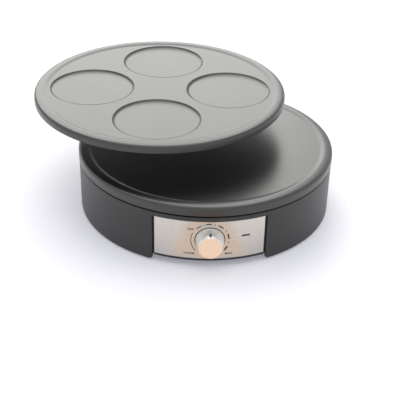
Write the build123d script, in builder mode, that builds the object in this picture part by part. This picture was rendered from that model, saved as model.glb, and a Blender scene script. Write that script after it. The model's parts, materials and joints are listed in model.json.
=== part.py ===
"""Electric crepe maker: round heated base, crepe plate and interchangeable small-pancake plate.

Millimetres, +Z up. The origin is on the counter under the axis of the base, and the control
panel faces -Y.
"""

import os
from math import cos, degrees, radians, sin

from build123d import *

os.makedirs("parts", exist_ok=True)

# ================================================================ driving dimensions

# Heights of the base
skirt_clearance = 2.0        # counter to the lower edge of the housing
housing_height = 68.2        # lower edge to upper edge of the housing
plate_gap = 1.8              # dark line between the housing and the plate above it
cover_level = 8.0            # underside of the bottom cover

# Cast plates
plate_radius = 165.0
plate_round = 6.5            # quarter-round outer shoulder
plate_skirt_wall = 4.0
bead_width = 11.5            # outer edge to the foot of the bead
groove_width = 3.0           # flat floor of the groove inside the bead
groove_slope = 2.0           # groove up to the cooking surface
groove_depth = 2.1           # crest of the bead to the floor of the groove
surface_drop = 1.4           # crest of the bead to the cooking surface
rib_inset = 14.5             # outer edge to the locating rib
rib_width = 4.0
plate_hollow = 3.6           # lower edge of a plate to its heated face
crepe_plate_height = 13.0
crepe_plate_thickness = 4.2
heater_pad_width = 28.0
sensor_pad_radius = 16.0
pancake_plate_height = 10.7

# Shallow moulds of the pancake plate
mould_margin = 3.5           # edge of the cooking surface to the moulds
mould_web = 16.6             # metal between the rims of two moulds
mould_depth = 2.5
mould_wall_run = 4.0
mould_round = 1.5
mould_count = 4
mould_turn = -2.5

# The pancake plate is held clear of the base, back and to the left
pancake_offset_x = -59.4
pancake_offset_y = 54.2
pancake_lift = 40.6          # crest of the crepe plate to the lower edge of the pancake plate

# Housing shell
plate_overhang = 0.5         # plate stands out past the housing
housing_wall = 2.6
housing_lower_round = 1.2
housing_upper_round = 1.0
flange_thickness = 2.8
flange_reach = 3.5           # flange stands in past the rib of the plate
locating_ring_gap = 1.9      # rib of the plate to the locating ring
locating_ring_wall = 2.2
locating_ring_rise = 4.2

# Front opening, control panel and the carrier behind it
opening_half_angle = 24.75
opening_band = 5.5           # housing left standing above the opening
opening_corner = 4.5
panel_half_angle = 24.0
panel_thickness = 0.8
panel_recess = 2.2           # front of the panel behind the face of the housing
panel_slip = 0.4             # top of the panel to the edge of the opening
carrier_wall = 2.6
carrier_half_angle = 27.5
carrier_slip = 0.4           # carrier to the cover and the flange
carrier_rise = 0.9           # underside of the cover to the underside of the carrier
carrier_lip_height = 2.0
carrier_lip_reach = 0.9      # lip under the panel stands out past it
carrier_shelf = 12.9         # floor of the carrier, inwards from its wall
ear_half_angle = 3.2
ear_angle = 20.0
ear_thickness = 2.4
ear_length = 14.4
ear_screw_inset = 8.9
ear_post_length = 10.4       # ear up to the flange of the housing

# Control knob and its shaft
knob_face_radius = 14.6
knob_bevel = 4.5             # face back to the shoulder
knob_bevel_rise = 1.3        # face out to the shoulder
knob_flare = 1.55            # shoulder out to the rim at the back
knob_base_rim = 2.6
knob_depth = 19.3
knob_wall = 2.1
knob_hub_radius = 6.0
knob_insert_inset = 0.45     # edge of the face to the disc set in it
knob_insert_thickness = 0.8
knob_pocket_gap = 0.9        # ring of air round the knob
knob_pocket_depth = 3.0      # front of the panel to the floor of the pocket
knob_float = 1.0             # floor of the pocket to the back of the knob
pocket_backing = 3.0
pocket_rim = 2.9
pointer_groove_front = 0.8   # face of the knob to the groove that holds the pointer
pointer_groove_length = 6.0
pointer_width = 2.8
pointer_groove_backing = 0.6 # groove to the hollow of the knob
pointer_length = 2.6         # black bar at the back of the groove
shaft_radius = 3.0
shaft_flat_depth = 0.8
shaft_flat_length = 10.0
shaft_front_wall = 8.0       # face of the knob to the end of the shaft
shaft_tail = 5.0             # shaft inside the thermostat
running_gap = 0.05           # radial clearance of parts that turn or slide in each other
close_gap = 0.05             # clearance of parts that stay together

# Thermostat
post_radius = 4.0
post_spacing = 38.0
bracket_width = 50.0
bracket_height = 26.0
bracket_thickness = 1.2
bracket_stand = 10.3         # back of the knob pocket to the back of the bracket
thermostat_width = 30.0
thermostat_height = 24.0
thermostat_depth = 26.0
bushing_thread_radius = 5.0
bushing_thread_length = 7.5
nut_across_flats = 14.0
nut_thickness = 3.0
tab_thickness = 0.8
tab_height = 6.3
tab_length = 8.0
tab_spacing = 16.0
tab_drop = 6.0

# Indicator lamp
lamp_arc = 43.5              # round the panel from the knob, to the right
lamp_rise = 3.8              # lamp above the middle of the knob
lens_width = 9.7
lens_height = 2.2
lens_depth = 6.0
lens_stand = 0.2             # lens stands out past the panel
lens_gap = 0.15
lamp_box_width = 15.0
lamp_box_height = 9.0
lamp_box_wall = 1.4
lamp_box_depth = 13.0
lamp_holder_depth = 3.0
lamp_radius = 2.4
lamp_tip_gap = 0.4           # lamp to the back of the lens

# Reflector, its screws and the heat shield below it
reflector_sheet = 0.8
reflector_depth = 14.4       # rim to underside of the floor
reflector_slip = 0.8         # wall of the reflector inside the flange
reflector_rim_slip = 0.6     # rim inside the locating ring
reflector_screw_angles = (40, 140, 240, 300)
reflector_screw_length = 12.0
flush_head_radius = 2.8
flush_head_depth = 1.2
flush_boss_radius = 4.0
flush_boss_length = 12.0
shield_sheet = 0.6
shield_inset = 10.2          # wall of the reflector to the edge of the shield
shield_drop = 7.0            # floor of the reflector to the shield
shield_front_gap = 2.0       # straight front edge of the shield to the thermostat
spacer_radius = 3.4
spacer_inset = 14.0          # edge of the shield to the spacers
spacer_angles = (45, 135, 225, 315)

# Heating element
element_radius = 4.0
element_inset = 42.2         # wall of the reflector to the ring of the element
element_gap_angle = 12.0     # from the back of the base to each end of the ring
element_bend = 10.0
element_clearance = 0.3      # element and sensor to the plate above them
element_tail = 6.0           # legs below the shield
collar_radius = 3.6
collar_height = 2.5
blade_width = 6.3
blade_thickness = 0.8
blade_length = 7.5
clip_angles = (30, 150, 270)
clip_sheet = 1.2
clip_width = 14.0
clip_foot = 11.0
clip_rise = 1.2              # upright above the middle of the element
bushing_radius = 7.5
bushing_body_radius = 5.1
bushing_height = 2.5
leg_hole_gap = 4.0           # round the legs in the shield

# Spring-loaded temperature sensor
sensor_cap_radius = 12.0
sensor_cap_thickness = 1.5
sensor_cap_chamfer = 0.5
sensor_stem_radius = 7.95
sensor_stem_bore = 6.5
sensor_stem_length = 16.8
sensor_travel = 3.0
sleeve_wall = 1.4
sleeve_floor = 1.0
sleeve_length = 19.8
sleeve_spare = 1.0           # sleeve to the cap when the sensor is fully pressed
sleeve_flange_reach = 5.2
sleeve_flange_thickness = 1.2
spring_wire_radius = 0.45
spring_radius = 5.2
spring_turns = 6.5
bulb_radius = 3.0
bulb_length = 14.0
bulb_tail_length = 3.5
capillary_radius = 0.9
capillary_hole_gap = 0.4
capillary_bend = 8.0
capillary_drop = 10.0

# Bottom cover, feet and screws
cover_thickness = 2.2
cover_slip = 0.5
cover_rim_wall = 1.6
cover_rim_height = 3.0
boss_radius = 4.5
boss_reach = 9.9             # inner face of the housing to the screw bosses
boss_rib = 2.0
boss_angles = (15, 62, 118, 165, 222, 318)
foot_radius = 11.0
foot_tread_radius = 10.0
foot_tread_height = 1.2
foot_inset = 33.4            # edge of the cover to the feet
foot_angles = (45, 135, 225, 315)
foot_stem_radius = 2.9
foot_hole_gap = 0.1
foot_head_radius = 4.6
foot_head_height = 2.6
screw_radius = 1.7
screw_length = 14.0
screw_head_radius = 3.4
screw_head_height = 2.2
screw_slot_width = 0.9
screw_slot_depth = 0.9
nut_height = 2.4
vent_length = 14.0
vent_width = 3.2
vent_ring_radii = (48.0, 68.0)
vent_count = 12

# Cord gland, cord clamp and mains terminal block
cord_rise = 11.8             # bottom cover to the middle of the cord
cord_radius = 3.6            # bore for the cord
gland_radius = 7.0
gland_hole_gap = 0.1
gland_flange_radius = 10.0
gland_flange = 3.0
gland_lip_radius = 8.4
gland_lip = 1.2
gland_lip_gap = 0.6
gland_tail = 10.0
clamp_width = 38.0
clamp_depth = 10.0
clamp_height = 4.0
clamp_inset = 12.9           # inner end of the gland to the middle of the clamp
clamp_post_spacing = 28.0
saddle_width = 12.0
block_width = 50.0
block_depth = 18.0
block_height = 14.0
block_inset = 17.0           # middle of the clamp to the back of the block
block_pad_height = 4.0
block_pad_width = 10.0
block_screw_spacing = 40.0
pole_spacing = 12.0
pole_screw_radius = 1.9
pole_screw_depth = 4.0
port_gap = 0.15
port_height = 5.8            # underside of the block to the ports

# Wires and thermal fuse
wire_radius = 1.2
lamp_wire_radius = 0.7
wire_insert = 3.0            # bare end inside the terminal block
wire_lead = 14.0             # straight run out of a terminal
wide_bend = 10.0
close_bend = 6.0
tight_bend = 3.0
live_run_x = 60.0            # long runs beside the middle of the base
live_run_level = 17.0
switched_run_x = 66.0
switched_run_level = 20.0
lamp_run_x = 84.0
lamp_run_level = 30.0
run_front = 62.0
run_rear = 50.0
loop_drop = 4.4              # ends of the element to the loops of wire below them
loop_reach = 10.0            # legs of the element to the loop in front of them
fuse_radius = 2.2
fuse_length = 14.0
fuse_x = 40.0
fuse_setback = 19.9          # legs of the element to the fuse
fuse_strap = 0.8
fuse_strap_width = 6.0
fuse_strap_foot = 5.0
lug_size = 8.0
lug_thickness = 0.8
lug_x = 45.0
lug_setback = 14.0           # fuse to the earth lug

# ================================================================ derived places

housing_radius = plate_radius - plate_overhang
housing_bore = housing_radius - housing_wall
housing_bottom = skirt_clearance
housing_top = housing_bottom + housing_height
plate_bottom = housing_top + plate_gap

bead_inner_radius = plate_radius - bead_width
groove_inner_radius = bead_inner_radius - groove_width
surface_radius = groove_inner_radius - groove_slope
rib_outer_radius = plate_radius - rib_inset
rib_inner_radius = rib_outer_radius - rib_width
skirt_inner_radius = plate_radius - plate_skirt_wall
crepe_crest = plate_bottom + crepe_plate_height
crepe_surface = crepe_crest - surface_drop
crepe_underside = crepe_surface - crepe_plate_thickness
heated_face = plate_bottom + plate_hollow
pancake_bottom = crepe_crest + pancake_lift
pancake_surface = pancake_bottom + pancake_plate_height - surface_drop
mould_share = sin(radians(180 / mould_count))
mould_room = surface_radius - mould_margin
mould_rim_radius = (mould_room * mould_share - mould_web / 2) / (1 + mould_share)
mould_pitch_radius = mould_room - mould_rim_radius
mould_radius = mould_rim_radius - mould_wall_run / 2

seat_level = plate_bottom - reflector_sheet
flange_underside = seat_level - flange_thickness
flange_inner_radius = rib_inner_radius - flange_reach
locating_ring_inner = rib_outer_radius + locating_ring_gap
locating_ring_outer = locating_ring_inner + locating_ring_wall
locating_ring_top = housing_top + locating_ring_rise
opening_top = housing_top - opening_band

cover_top = cover_level + cover_thickness
cover_radius = housing_bore - cover_slip
panel_radius = housing_radius - panel_recess
panel_back = panel_radius - panel_thickness
carrier_inner = panel_back - carrier_wall
carrier_bottom = cover_level + carrier_rise
cover_chord = carrier_inner - carrier_shelf
carrier_chord = cover_chord + carrier_slip
panel_bottom = carrier_bottom + carrier_lip_height
panel_top = opening_top - panel_slip
carrier_wide_bottom = cover_top + cover_rim_height + carrier_slip
carrier_top = flange_underside - carrier_slip
ear_inner_radius = carrier_inner - ear_length
ear_screw_radius = carrier_inner - ear_screw_inset
ear_level = flange_underside - ear_post_length - ear_thickness

knob_height = (panel_bottom + panel_top) / 2
knob_shoulder_radius = knob_face_radius + knob_bevel_rise
knob_base_radius = knob_shoulder_radius + knob_flare
knob_insert_radius = knob_face_radius - knob_insert_inset
pocket_radius = knob_base_radius + knob_pocket_gap
pocket_floor = panel_radius - knob_pocket_depth
pocket_back = pocket_floor - pocket_backing
knob_back = pocket_floor + knob_float
knob_front = knob_back + knob_depth
pointer_back = knob_front - pointer_groove_front - pointer_groove_length
knob_hollow_front = pointer_back - pointer_groove_backing
shaft_end = knob_front - shaft_front_wall
bracket_distance = pocket_back - bracket_stand
bracket_front = bracket_distance + bracket_thickness
thermostat_back = bracket_distance - thermostat_depth
shaft_start = bracket_distance - shaft_tail
tab_level = knob_height - tab_drop
lamp_angle = degrees(lamp_arc / panel_radius)
lamp_height = knob_height + lamp_rise
lens_front = panel_radius + lens_stand
lens_back = lens_front - lens_depth
lamp_box_back = carrier_inner - lamp_box_depth
lamp_base = lamp_box_back + lamp_holder_depth

reflector_underside = plate_bottom - reflector_depth
reflector_floor = reflector_underside + reflector_sheet
reflector_wall_radius = flange_inner_radius - reflector_slip
reflector_rim_radius = locating_ring_inner - reflector_rim_slip
reflector_screw_ring = (flange_inner_radius + reflector_rim_radius) / 2
shield_radius = reflector_wall_radius - shield_inset
shield_top = reflector_underside - shield_drop
shield_underside = shield_top - shield_sheet
shield_chord = thermostat_back - shield_front_gap
spacer_ring_radius = shield_radius - spacer_inset

element_ring_radius = reflector_wall_radius - element_inset
element_level = heated_face - element_clearance - element_radius
element_leg_end = shield_underside - element_tail
element_end_x = element_ring_radius * sin(radians(element_gap_angle))
element_end_y = element_ring_radius * cos(radians(element_gap_angle))
element_way_x = cos(radians(element_gap_angle))
element_way_y = sin(radians(element_gap_angle))
element_leg_x = element_end_x - element_bend * element_way_x
element_leg_y = element_end_y + element_bend * element_way_y
element_leg_places = ((element_leg_x, element_leg_y), (-element_leg_x, element_leg_y))
blade_end = element_leg_end - collar_height - blade_length
blade_middle = blade_end + blade_length / 2
loop_level = blade_end - loop_drop
loop_front = element_leg_y - loop_reach

sensor_top = heated_face - element_clearance
sensor_ceiling = sensor_top - sensor_cap_thickness
sleeve_bore = sensor_stem_radius + running_gap
sleeve_radius = sleeve_bore + sleeve_wall
sleeve_top = sensor_ceiling - sensor_travel - sleeve_spare
sleeve_bottom = sleeve_top - sleeve_length
spring_seat = sleeve_bottom + sleeve_floor
sleeve_screw_ring = sleeve_radius + sleeve_flange_reach / 2
sleeve_hole_radius = sleeve_radius + close_gap

cord_height = cover_top + cord_rise
gland_outer = housing_radius + gland_flange
gland_inner = housing_bore - gland_tail
gland_lip_face = housing_bore - gland_lip_gap
clamp_centre = gland_inner - clamp_inset
clamp_level = cord_height + cord_radius
block_front = clamp_centre - block_inset - block_depth
block_bottom = cover_top + block_pad_height
block_top = block_bottom + block_height
port_level = block_bottom + port_height
fuse_y = element_leg_y - fuse_setback
lug_y = fuse_y - lug_setback
fuse_level = shield_underside - fuse_radius - close_gap

boss_ring_radius = housing_bore - boss_reach
foot_ring_radius = cover_radius - foot_inset


# ================================================================ shared helpers

ON_BOTTOM = (Align.CENTER, Align.CENTER, Align.MIN)


def front_plane(distance, height, angle=0.0):
    """Plane facing out of the panel at a distance from the axis, turned round it to the right."""
    turn = radians(angle)
    outward = (sin(turn), -cos(turn), 0)
    return Plane(
        origin=(distance * sin(turn), -distance * cos(turn), height),
        x_dir=(cos(turn), sin(turn), 0),
        z_dir=outward,
    )


def radial_plane(angle):
    """Upright plane through the axis of the base: its x is the radius and its y the height."""
    turn = radians(angle)
    side = (sin(turn), -cos(turn), 0)
    return Plane(origin=(0, 0, 0), x_dir=(cos(turn), sin(turn), 0), z_dir=side)


def front_sector(outer, inner, half_angle, turn=0.0):
    """Ring sector at the front of the base, in the current sketch."""
    reach = 2 * outer
    Circle(outer)
    Circle(inner, mode=Mode.SUBTRACT)
    left = radians(turn - half_angle)
    right = radians(turn + half_angle)
    Polygon(
        (0, 0),
        (reach * sin(left), -reach * cos(left)),
        (reach * sin(right), -reach * cos(right)),
        align=None,
        mode=Mode.INTERSECT,
    )


def behind_front_edge(radius, distance):
    """Trim the current sketch to what lies behind a straight front edge."""
    with Locations((0, -distance)):
        Rectangle(
            2 * radius,
            2 * radius + distance,
            align=(Align.CENTER, Align.MIN),
            mode=Mode.INTERSECT,
        )


def revolve_outline(points, centre=(0, 0)):
    """Turn a closed outline of radius and height pairs round an upright axis."""
    x, y = centre
    with BuildSketch(Plane(origin=(x, y, 0), x_dir=(1, 0, 0), z_dir=(0, -1, 0))) as section:
        with BuildLine():
            Polyline(*points, close=True)
        make_face()
    revolve(section.sketch, axis=Axis((x, y, 0), (0, 0, 1)))


def ring_places(radius, angles):
    """Points on a circle round the axis of the base."""
    return [(radius * cos(radians(angle)), radius * sin(radians(angle))) for angle in angles]


def cylinders(places, radius, bottom, top, mode=Mode.ADD):
    """Upright cylinders between two heights."""
    with Locations(*[(x, y, bottom) for x, y in places]):
        Cylinder(radius, top - bottom, align=ON_BOTTOM, mode=mode)


def block(centre, size, bottom, mode=Mode.ADD):
    """Upright box on a height."""
    with Locations((centre[0], centre[1], bottom)):
        Box(*size, align=ON_BOTTOM, mode=mode)


def screws(places, seat, length, upward, shank=screw_radius, head=screw_head_radius):
    """Slotted pan-head screws whose heads bear on a height."""
    way = 1 if upward else -1
    crown = seat - way * screw_head_height
    tip = seat + way * length
    slot = crown + way * screw_slot_depth
    cylinders(places, head, min(seat, crown), max(seat, crown))
    cylinders(places, shank, min(seat, tip), max(seat, tip))
    for place in places:
        slot_size = (3 * head, screw_slot_width, screw_slot_depth)
        block(place, slot_size, min(crown, slot), mode=Mode.SUBTRACT)


def flush_heads(gap, mode):
    """Countersunk heads that lie flush in the rim of the reflector."""
    with Locations(*[(x, y, plate_bottom - flush_head_depth) for x, y in reflector_screw_places]):
        Cone(
            screw_radius + gap,
            flush_head_radius + gap,
            flush_head_depth,
            align=ON_BOTTOM,
            mode=mode,
        )


def wire(points, bend, radius=wire_radius):
    """Insulated wire along straight runs joined by arcs."""
    with BuildLine() as route:
        FilletPolyline(*points, radius=bend)
    with BuildSketch(Plane(origin=route.line @ 0, z_dir=route.line % 0)) as section:
        Circle(radius)
    sweep(section.sketch, path=route.line)


def cast_plate(bottom, height, underside, centre):
    """Round plate with a raised bead, a groove inside it, a skirt and a locating rib."""
    crest = bottom + height
    groove = crest - groove_depth
    surface = crest - surface_drop
    shoulder = crest - plate_round
    bead_radius = plate_radius - plate_round
    lean = plate_round * sin(radians(45))
    bead_middle = (bead_radius + bead_inner_radius) / 2
    x, y = centre
    with BuildSketch(Plane(origin=(x, y, 0), x_dir=(1, 0, 0), z_dir=(0, -1, 0))) as section:
        with BuildLine():
            Polyline(
                (bead_inner_radius, groove),
                (groove_inner_radius, groove),
                (surface_radius, surface),
                (0, surface),
                (0, underside),
                (rib_inner_radius, underside),
                (rib_inner_radius, bottom),
                (rib_outer_radius, bottom),
                (rib_outer_radius, underside),
                (skirt_inner_radius, underside),
                (skirt_inner_radius, bottom),
                (plate_radius, bottom),
                (plate_radius, shoulder),
            )
            ThreePointArc(
                (plate_radius, shoulder),
                (bead_radius + lean, shoulder + lean),
                (bead_radius, crest),
            )
            ThreePointArc(
                (bead_radius, crest),
                (bead_middle, crest - groove_depth / 4),
                (bead_inner_radius, groove),
            )
        make_face()
    revolve(section.sketch, axis=Axis((x, y, 0), (0, 0, 1)))


def finish(builder, name):
    """Label a finished piece and write it."""
    builder.part.label = name
    export_step(builder.part, f"parts/{name}.step")


boss_places = ring_places(boss_ring_radius, boss_angles)
foot_places = ring_places(foot_ring_radius, foot_angles)
spacer_places = ring_places(spacer_ring_radius, spacer_angles)
reflector_screw_places = ring_places(reflector_screw_ring, reflector_screw_angles)
ear_places = ring_places(ear_screw_radius, (270 - ear_angle, 270 + ear_angle))
block_middle = block_front + block_depth / 2
block_screw_places = ((-block_screw_spacing / 2, block_middle), (block_screw_spacing / 2, block_middle))
pole_places = [(step * pole_spacing, block_middle) for step in (-1, 0, 1)]
clamp_post_places = ((-clamp_post_spacing / 2, clamp_centre), (clamp_post_spacing / 2, clamp_centre))
clip_screw_turn = degrees(clip_foot / 2 / element_ring_radius)
clip_screw_places = ring_places(
    element_ring_radius, [angle + clip_screw_turn for angle in clip_angles]
)
sleeve_screw_places = ((sleeve_screw_ring, 0), (-sleeve_screw_ring, 0))

# ================================================================ housing and bottom cover

with BuildPart() as base_housing:
    with BuildSketch(Plane.XZ) as shell_section:
        with BuildLine():
            Polyline(
                (housing_bore, housing_bottom),
                (housing_radius, housing_bottom),
                (housing_radius, housing_top),
                (locating_ring_outer, housing_top),
                (locating_ring_outer, locating_ring_top),
                (locating_ring_inner, locating_ring_top),
                (locating_ring_inner, seat_level),
                (flange_inner_radius, seat_level),
                (flange_inner_radius, flange_underside),
                (housing_bore, flange_underside),
                close=True,
            )
        make_face()
        outer_vertices = shell_section.vertices().group_by(Axis.X)[-1].sort_by(Axis.Y)
        fillet(outer_vertices[-1], radius=housing_upper_round)
    revolve(axis=Axis.Z)
    with BuildSketch(Plane.XY):
        front_sector(housing_radius + housing_wall, housing_bore - housing_wall, opening_half_angle)
    extrude(amount=opening_top, mode=Mode.SUBTRACT)
    lower_corners = (
        base_housing.edges()
        .filter_by(GeomType.LINE)
        .filter_by_position(Axis.Z, housing_bottom - close_gap, housing_bottom + close_gap)
    )
    fillet(lower_corners, radius=opening_corner)
    skirt_edge = (
        base_housing.edges()
        .filter_by_position(Axis.Z, housing_bottom - close_gap, housing_bottom + opening_corner)
        .filter_by(
            lambda edge: all(
                abs((vertex.X**2 + vertex.Y**2) ** 0.5 - housing_radius) < close_gap
                for vertex in edge.vertices()
            )
        )
    )
    fillet(skirt_edge, radius=housing_lower_round)
    cylinders(boss_places, boss_radius, cover_top, flange_underside)
    for angle in boss_angles:
        with BuildSketch(Plane.XY.offset(carrier_wide_bottom)):
            with Locations(Location((0, 0, 0), (0, 0, angle))):
                with Locations(((boss_ring_radius + housing_bore) / 2, 0)):
                    Rectangle(housing_bore - boss_ring_radius, boss_rib)
        extrude(amount=flange_underside - carrier_wide_bottom)
    cylinders(ear_places, boss_radius, ear_level + ear_thickness, flange_underside)
    cylinders(
        reflector_screw_places,
        flush_boss_radius,
        flange_underside - flush_boss_length,
        flange_underside,
    )
    cylinders(boss_places, screw_radius, cover_top, cover_top + screw_length, mode=Mode.SUBTRACT)
    cylinders(
        ear_places,
        screw_radius,
        ear_level + ear_thickness,
        ear_level + ear_thickness + screw_length / 2,
        mode=Mode.SUBTRACT,
    )
    cylinders(
        reflector_screw_places,
        screw_radius,
        plate_bottom - reflector_screw_length,
        plate_bottom,
        mode=Mode.SUBTRACT,
    )
    flush_heads(close_gap, Mode.SUBTRACT)
    with BuildSketch(Plane.XZ.offset(-housing_bore + housing_wall)):
        with Locations((0, cord_height)):
            Circle(gland_radius + gland_hole_gap)
    extrude(amount=-3 * housing_wall, mode=Mode.SUBTRACT)
finish(base_housing, "base_housing")

with BuildPart() as bottom_cover:
    with BuildSketch(Plane.XY.offset(cover_level)):
        Circle(cover_radius)
        behind_front_edge(cover_radius, cover_chord)
    extrude(amount=cover_thickness)
    with BuildSketch(Plane.XY.offset(cover_top)):
        Circle(cover_radius)
        Circle(cover_radius - cover_rim_wall, mode=Mode.SUBTRACT)
        behind_front_edge(cover_radius, cover_chord)
    extrude(amount=cover_rim_height)
    cylinders(clamp_post_places, boss_radius, cover_top, clamp_level)
    block((0, clamp_centre), (saddle_width, clamp_depth, cord_height - cord_radius - cover_top), cover_top)
    for place in block_screw_places:
        block(place, (block_pad_width, block_depth, block_pad_height), cover_top)
    cylinders(boss_places, screw_radius + close_gap, cover_level, cover_top, mode=Mode.SUBTRACT)
    cylinders(
        foot_places, foot_stem_radius + foot_hole_gap, cover_level, cover_top, mode=Mode.SUBTRACT
    )
    cylinders(
        block_screw_places, screw_radius, cover_top, cover_top + block_pad_height, mode=Mode.SUBTRACT
    )
    cylinders(
        clamp_post_places, screw_radius, clamp_level - screw_length / 2, clamp_level, mode=Mode.SUBTRACT
    )
    with BuildSketch(Plane.XY.offset(cover_level)):
        for vent_radius in vent_ring_radii:
            with PolarLocations(vent_radius, vent_count):
                SlotOverall(vent_length, vent_width)
    extrude(amount=cover_thickness, mode=Mode.SUBTRACT)
finish(bottom_cover, "bottom_cover")

with BuildPart() as cover_screws:
    screws(boss_places, cover_level, cover_thickness + screw_length, upward=True)
finish(cover_screws, "cover_screws")

with BuildPart() as rubber_feet:
    for place in foot_places:
        revolve_outline(
            (
                (0, 0),
                (foot_tread_radius, 0),
                (foot_radius, foot_tread_height),
                (foot_radius, cover_level),
                (foot_stem_radius, cover_level),
                (foot_stem_radius, cover_top),
                (foot_head_radius, cover_top),
                (foot_stem_radius, cover_top + foot_head_height),
                (0, cover_top + foot_head_height),
            ),
            place,
        )
finish(rubber_feet, "rubber_feet")

# ================================================================ control panel

with BuildPart() as panel_carrier:
    with BuildSketch(Plane.XY.offset(carrier_wide_bottom)):
        front_sector(panel_back, carrier_inner, carrier_half_angle)
    extrude(amount=carrier_top - carrier_wide_bottom)
    with BuildSketch(Plane.XY.offset(carrier_bottom)):
        front_sector(panel_back, carrier_inner, panel_half_angle)
        with Locations((0, -carrier_chord)):
            Rectangle(
                2 * panel_back, panel_back, align=(Align.CENTER, Align.MAX), mode=Mode.INTERSECT
            )
    extrude(amount=carrier_wide_bottom - carrier_bottom)
    with BuildSketch(Plane.XY.offset(carrier_bottom)):
        Circle(carrier_inner)
        with Locations((0, -carrier_chord)):
            Rectangle(
                2 * panel_back, panel_back, align=(Align.CENTER, Align.MAX), mode=Mode.INTERSECT
            )
    extrude(amount=carrier_lip_height)
    for side in (-1, 1):
        with BuildSketch(Plane.XY.offset(ear_level)):
            front_sector(carrier_inner, ear_inner_radius, ear_half_angle, side * ear_angle)
        extrude(amount=ear_thickness)
    with BuildSketch(front_plane(pocket_back, knob_height)):
        Circle(pocket_radius + pocket_rim)
    extrude(amount=panel_radius - pocket_back)
    with BuildSketch(front_plane(bracket_front, knob_height)):
        with GridLocations(post_spacing, 1, 2, 1):
            Circle(post_radius)
    extrude(amount=panel_radius - bracket_front)
    with BuildSketch(front_plane(lamp_box_back, lamp_height, lamp_angle)):
        Rectangle(lamp_box_width, lamp_box_height)
    extrude(amount=panel_radius - lamp_box_back)
    with BuildSketch(Plane.XY):
        Circle(panel_back)
    extrude(amount=housing_top, mode=Mode.INTERSECT)
    with BuildSketch(Plane.XY.offset(carrier_bottom)):
        front_sector(panel_radius + carrier_lip_reach, panel_back, panel_half_angle)
    extrude(amount=carrier_lip_height)
    with BuildSketch(front_plane(pocket_floor, knob_height)):
        Circle(pocket_radius)
    extrude(amount=panel_radius - pocket_floor, mode=Mode.SUBTRACT)
    with BuildSketch(front_plane(pocket_back, knob_height)):
        Circle(bushing_thread_radius)
    extrude(amount=pocket_backing, mode=Mode.SUBTRACT)
    with BuildSketch(front_plane(bracket_front, knob_height)):
        with GridLocations(post_spacing, 1, 2, 1):
            Circle(screw_radius)
    extrude(amount=screw_length / 2, mode=Mode.SUBTRACT)
    with BuildSketch(front_plane(lamp_box_back, lamp_height, lamp_angle)):
        Rectangle(lamp_box_width - 2 * lamp_box_wall, lamp_box_height - 2 * lamp_box_wall)
    extrude(amount=lamp_box_depth, mode=Mode.SUBTRACT)
    with BuildSketch(front_plane(lamp_box_back, lamp_height, lamp_angle)):
        Rectangle(lens_width + 2 * lens_gap, lens_height + 2 * lens_gap)
    extrude(amount=panel_radius - lamp_box_back, mode=Mode.SUBTRACT)
    cylinders(
        ear_places, screw_radius + close_gap, ear_level, ear_level + ear_thickness, mode=Mode.SUBTRACT
    )
finish(panel_carrier, "panel_carrier")

with BuildPart() as panel_screws:
    screws(ear_places, ear_level, ear_thickness + screw_length / 2, upward=True)
finish(panel_screws, "panel_screws")

with BuildPart() as control_panel:
    with BuildSketch(Plane.XY.offset(panel_bottom)):
        front_sector(panel_radius, panel_back, panel_half_angle)
    extrude(amount=panel_top - panel_bottom)
    with BuildSketch(front_plane(pocket_back, knob_height)):
        Circle(pocket_radius)
    extrude(amount=panel_radius - pocket_back, mode=Mode.SUBTRACT)
    with BuildSketch(front_plane(lens_back, lamp_height, lamp_angle)):
        Rectangle(lens_width + 2 * lens_gap, lens_height + 2 * lens_gap)
    extrude(amount=lens_depth, mode=Mode.SUBTRACT)
finish(control_panel, "control_panel")

with BuildPart() as indicator_lens:
    with BuildSketch(front_plane(lens_back, lamp_height, lamp_angle)):
        Rectangle(lens_width, lens_height)
    extrude(amount=lens_depth)
    front_edges = indicator_lens.faces().sort_by_distance(
        front_plane(panel_radius + lens_depth, lamp_height, lamp_angle).origin
    )[0].edges()
    chamfer(front_edges, length=lens_stand)
finish(indicator_lens, "indicator_lens")

with BuildPart() as indicator_lamp:
    with BuildSketch(front_plane(lamp_base, lamp_height, lamp_angle)):
        Circle(lamp_radius)
    extrude(amount=lens_back - lamp_tip_gap - lamp_base)
    tip = indicator_lamp.faces().sort_by_distance(
        front_plane(panel_radius, lamp_height, lamp_angle).origin
    )[0]
    fillet(tip.edges(), radius=lamp_radius - close_gap)
finish(indicator_lamp, "indicator_lamp")

with BuildPart() as lamp_holder:
    with BuildSketch(front_plane(lamp_box_back, lamp_height, lamp_angle)):
        Rectangle(
            lamp_box_width - 2 * lamp_box_wall - 2 * close_gap,
            lamp_box_height - 2 * lamp_box_wall - 2 * close_gap,
        )
    extrude(amount=lamp_holder_depth)
finish(lamp_holder, "lamp_holder")

# ================================================================ knob

knob_axis = Axis((0, 0, knob_height), (0, 1, 0))


def knob_outer_profile():
    """Outside of the knob from its back to its face, as radius and distance pairs."""
    return (
        (knob_base_radius, -knob_back),
        (knob_base_radius, -knob_back - knob_base_rim),
        (knob_shoulder_radius, -knob_front + knob_bevel),
        (knob_face_radius, -knob_front),
    )


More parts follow.
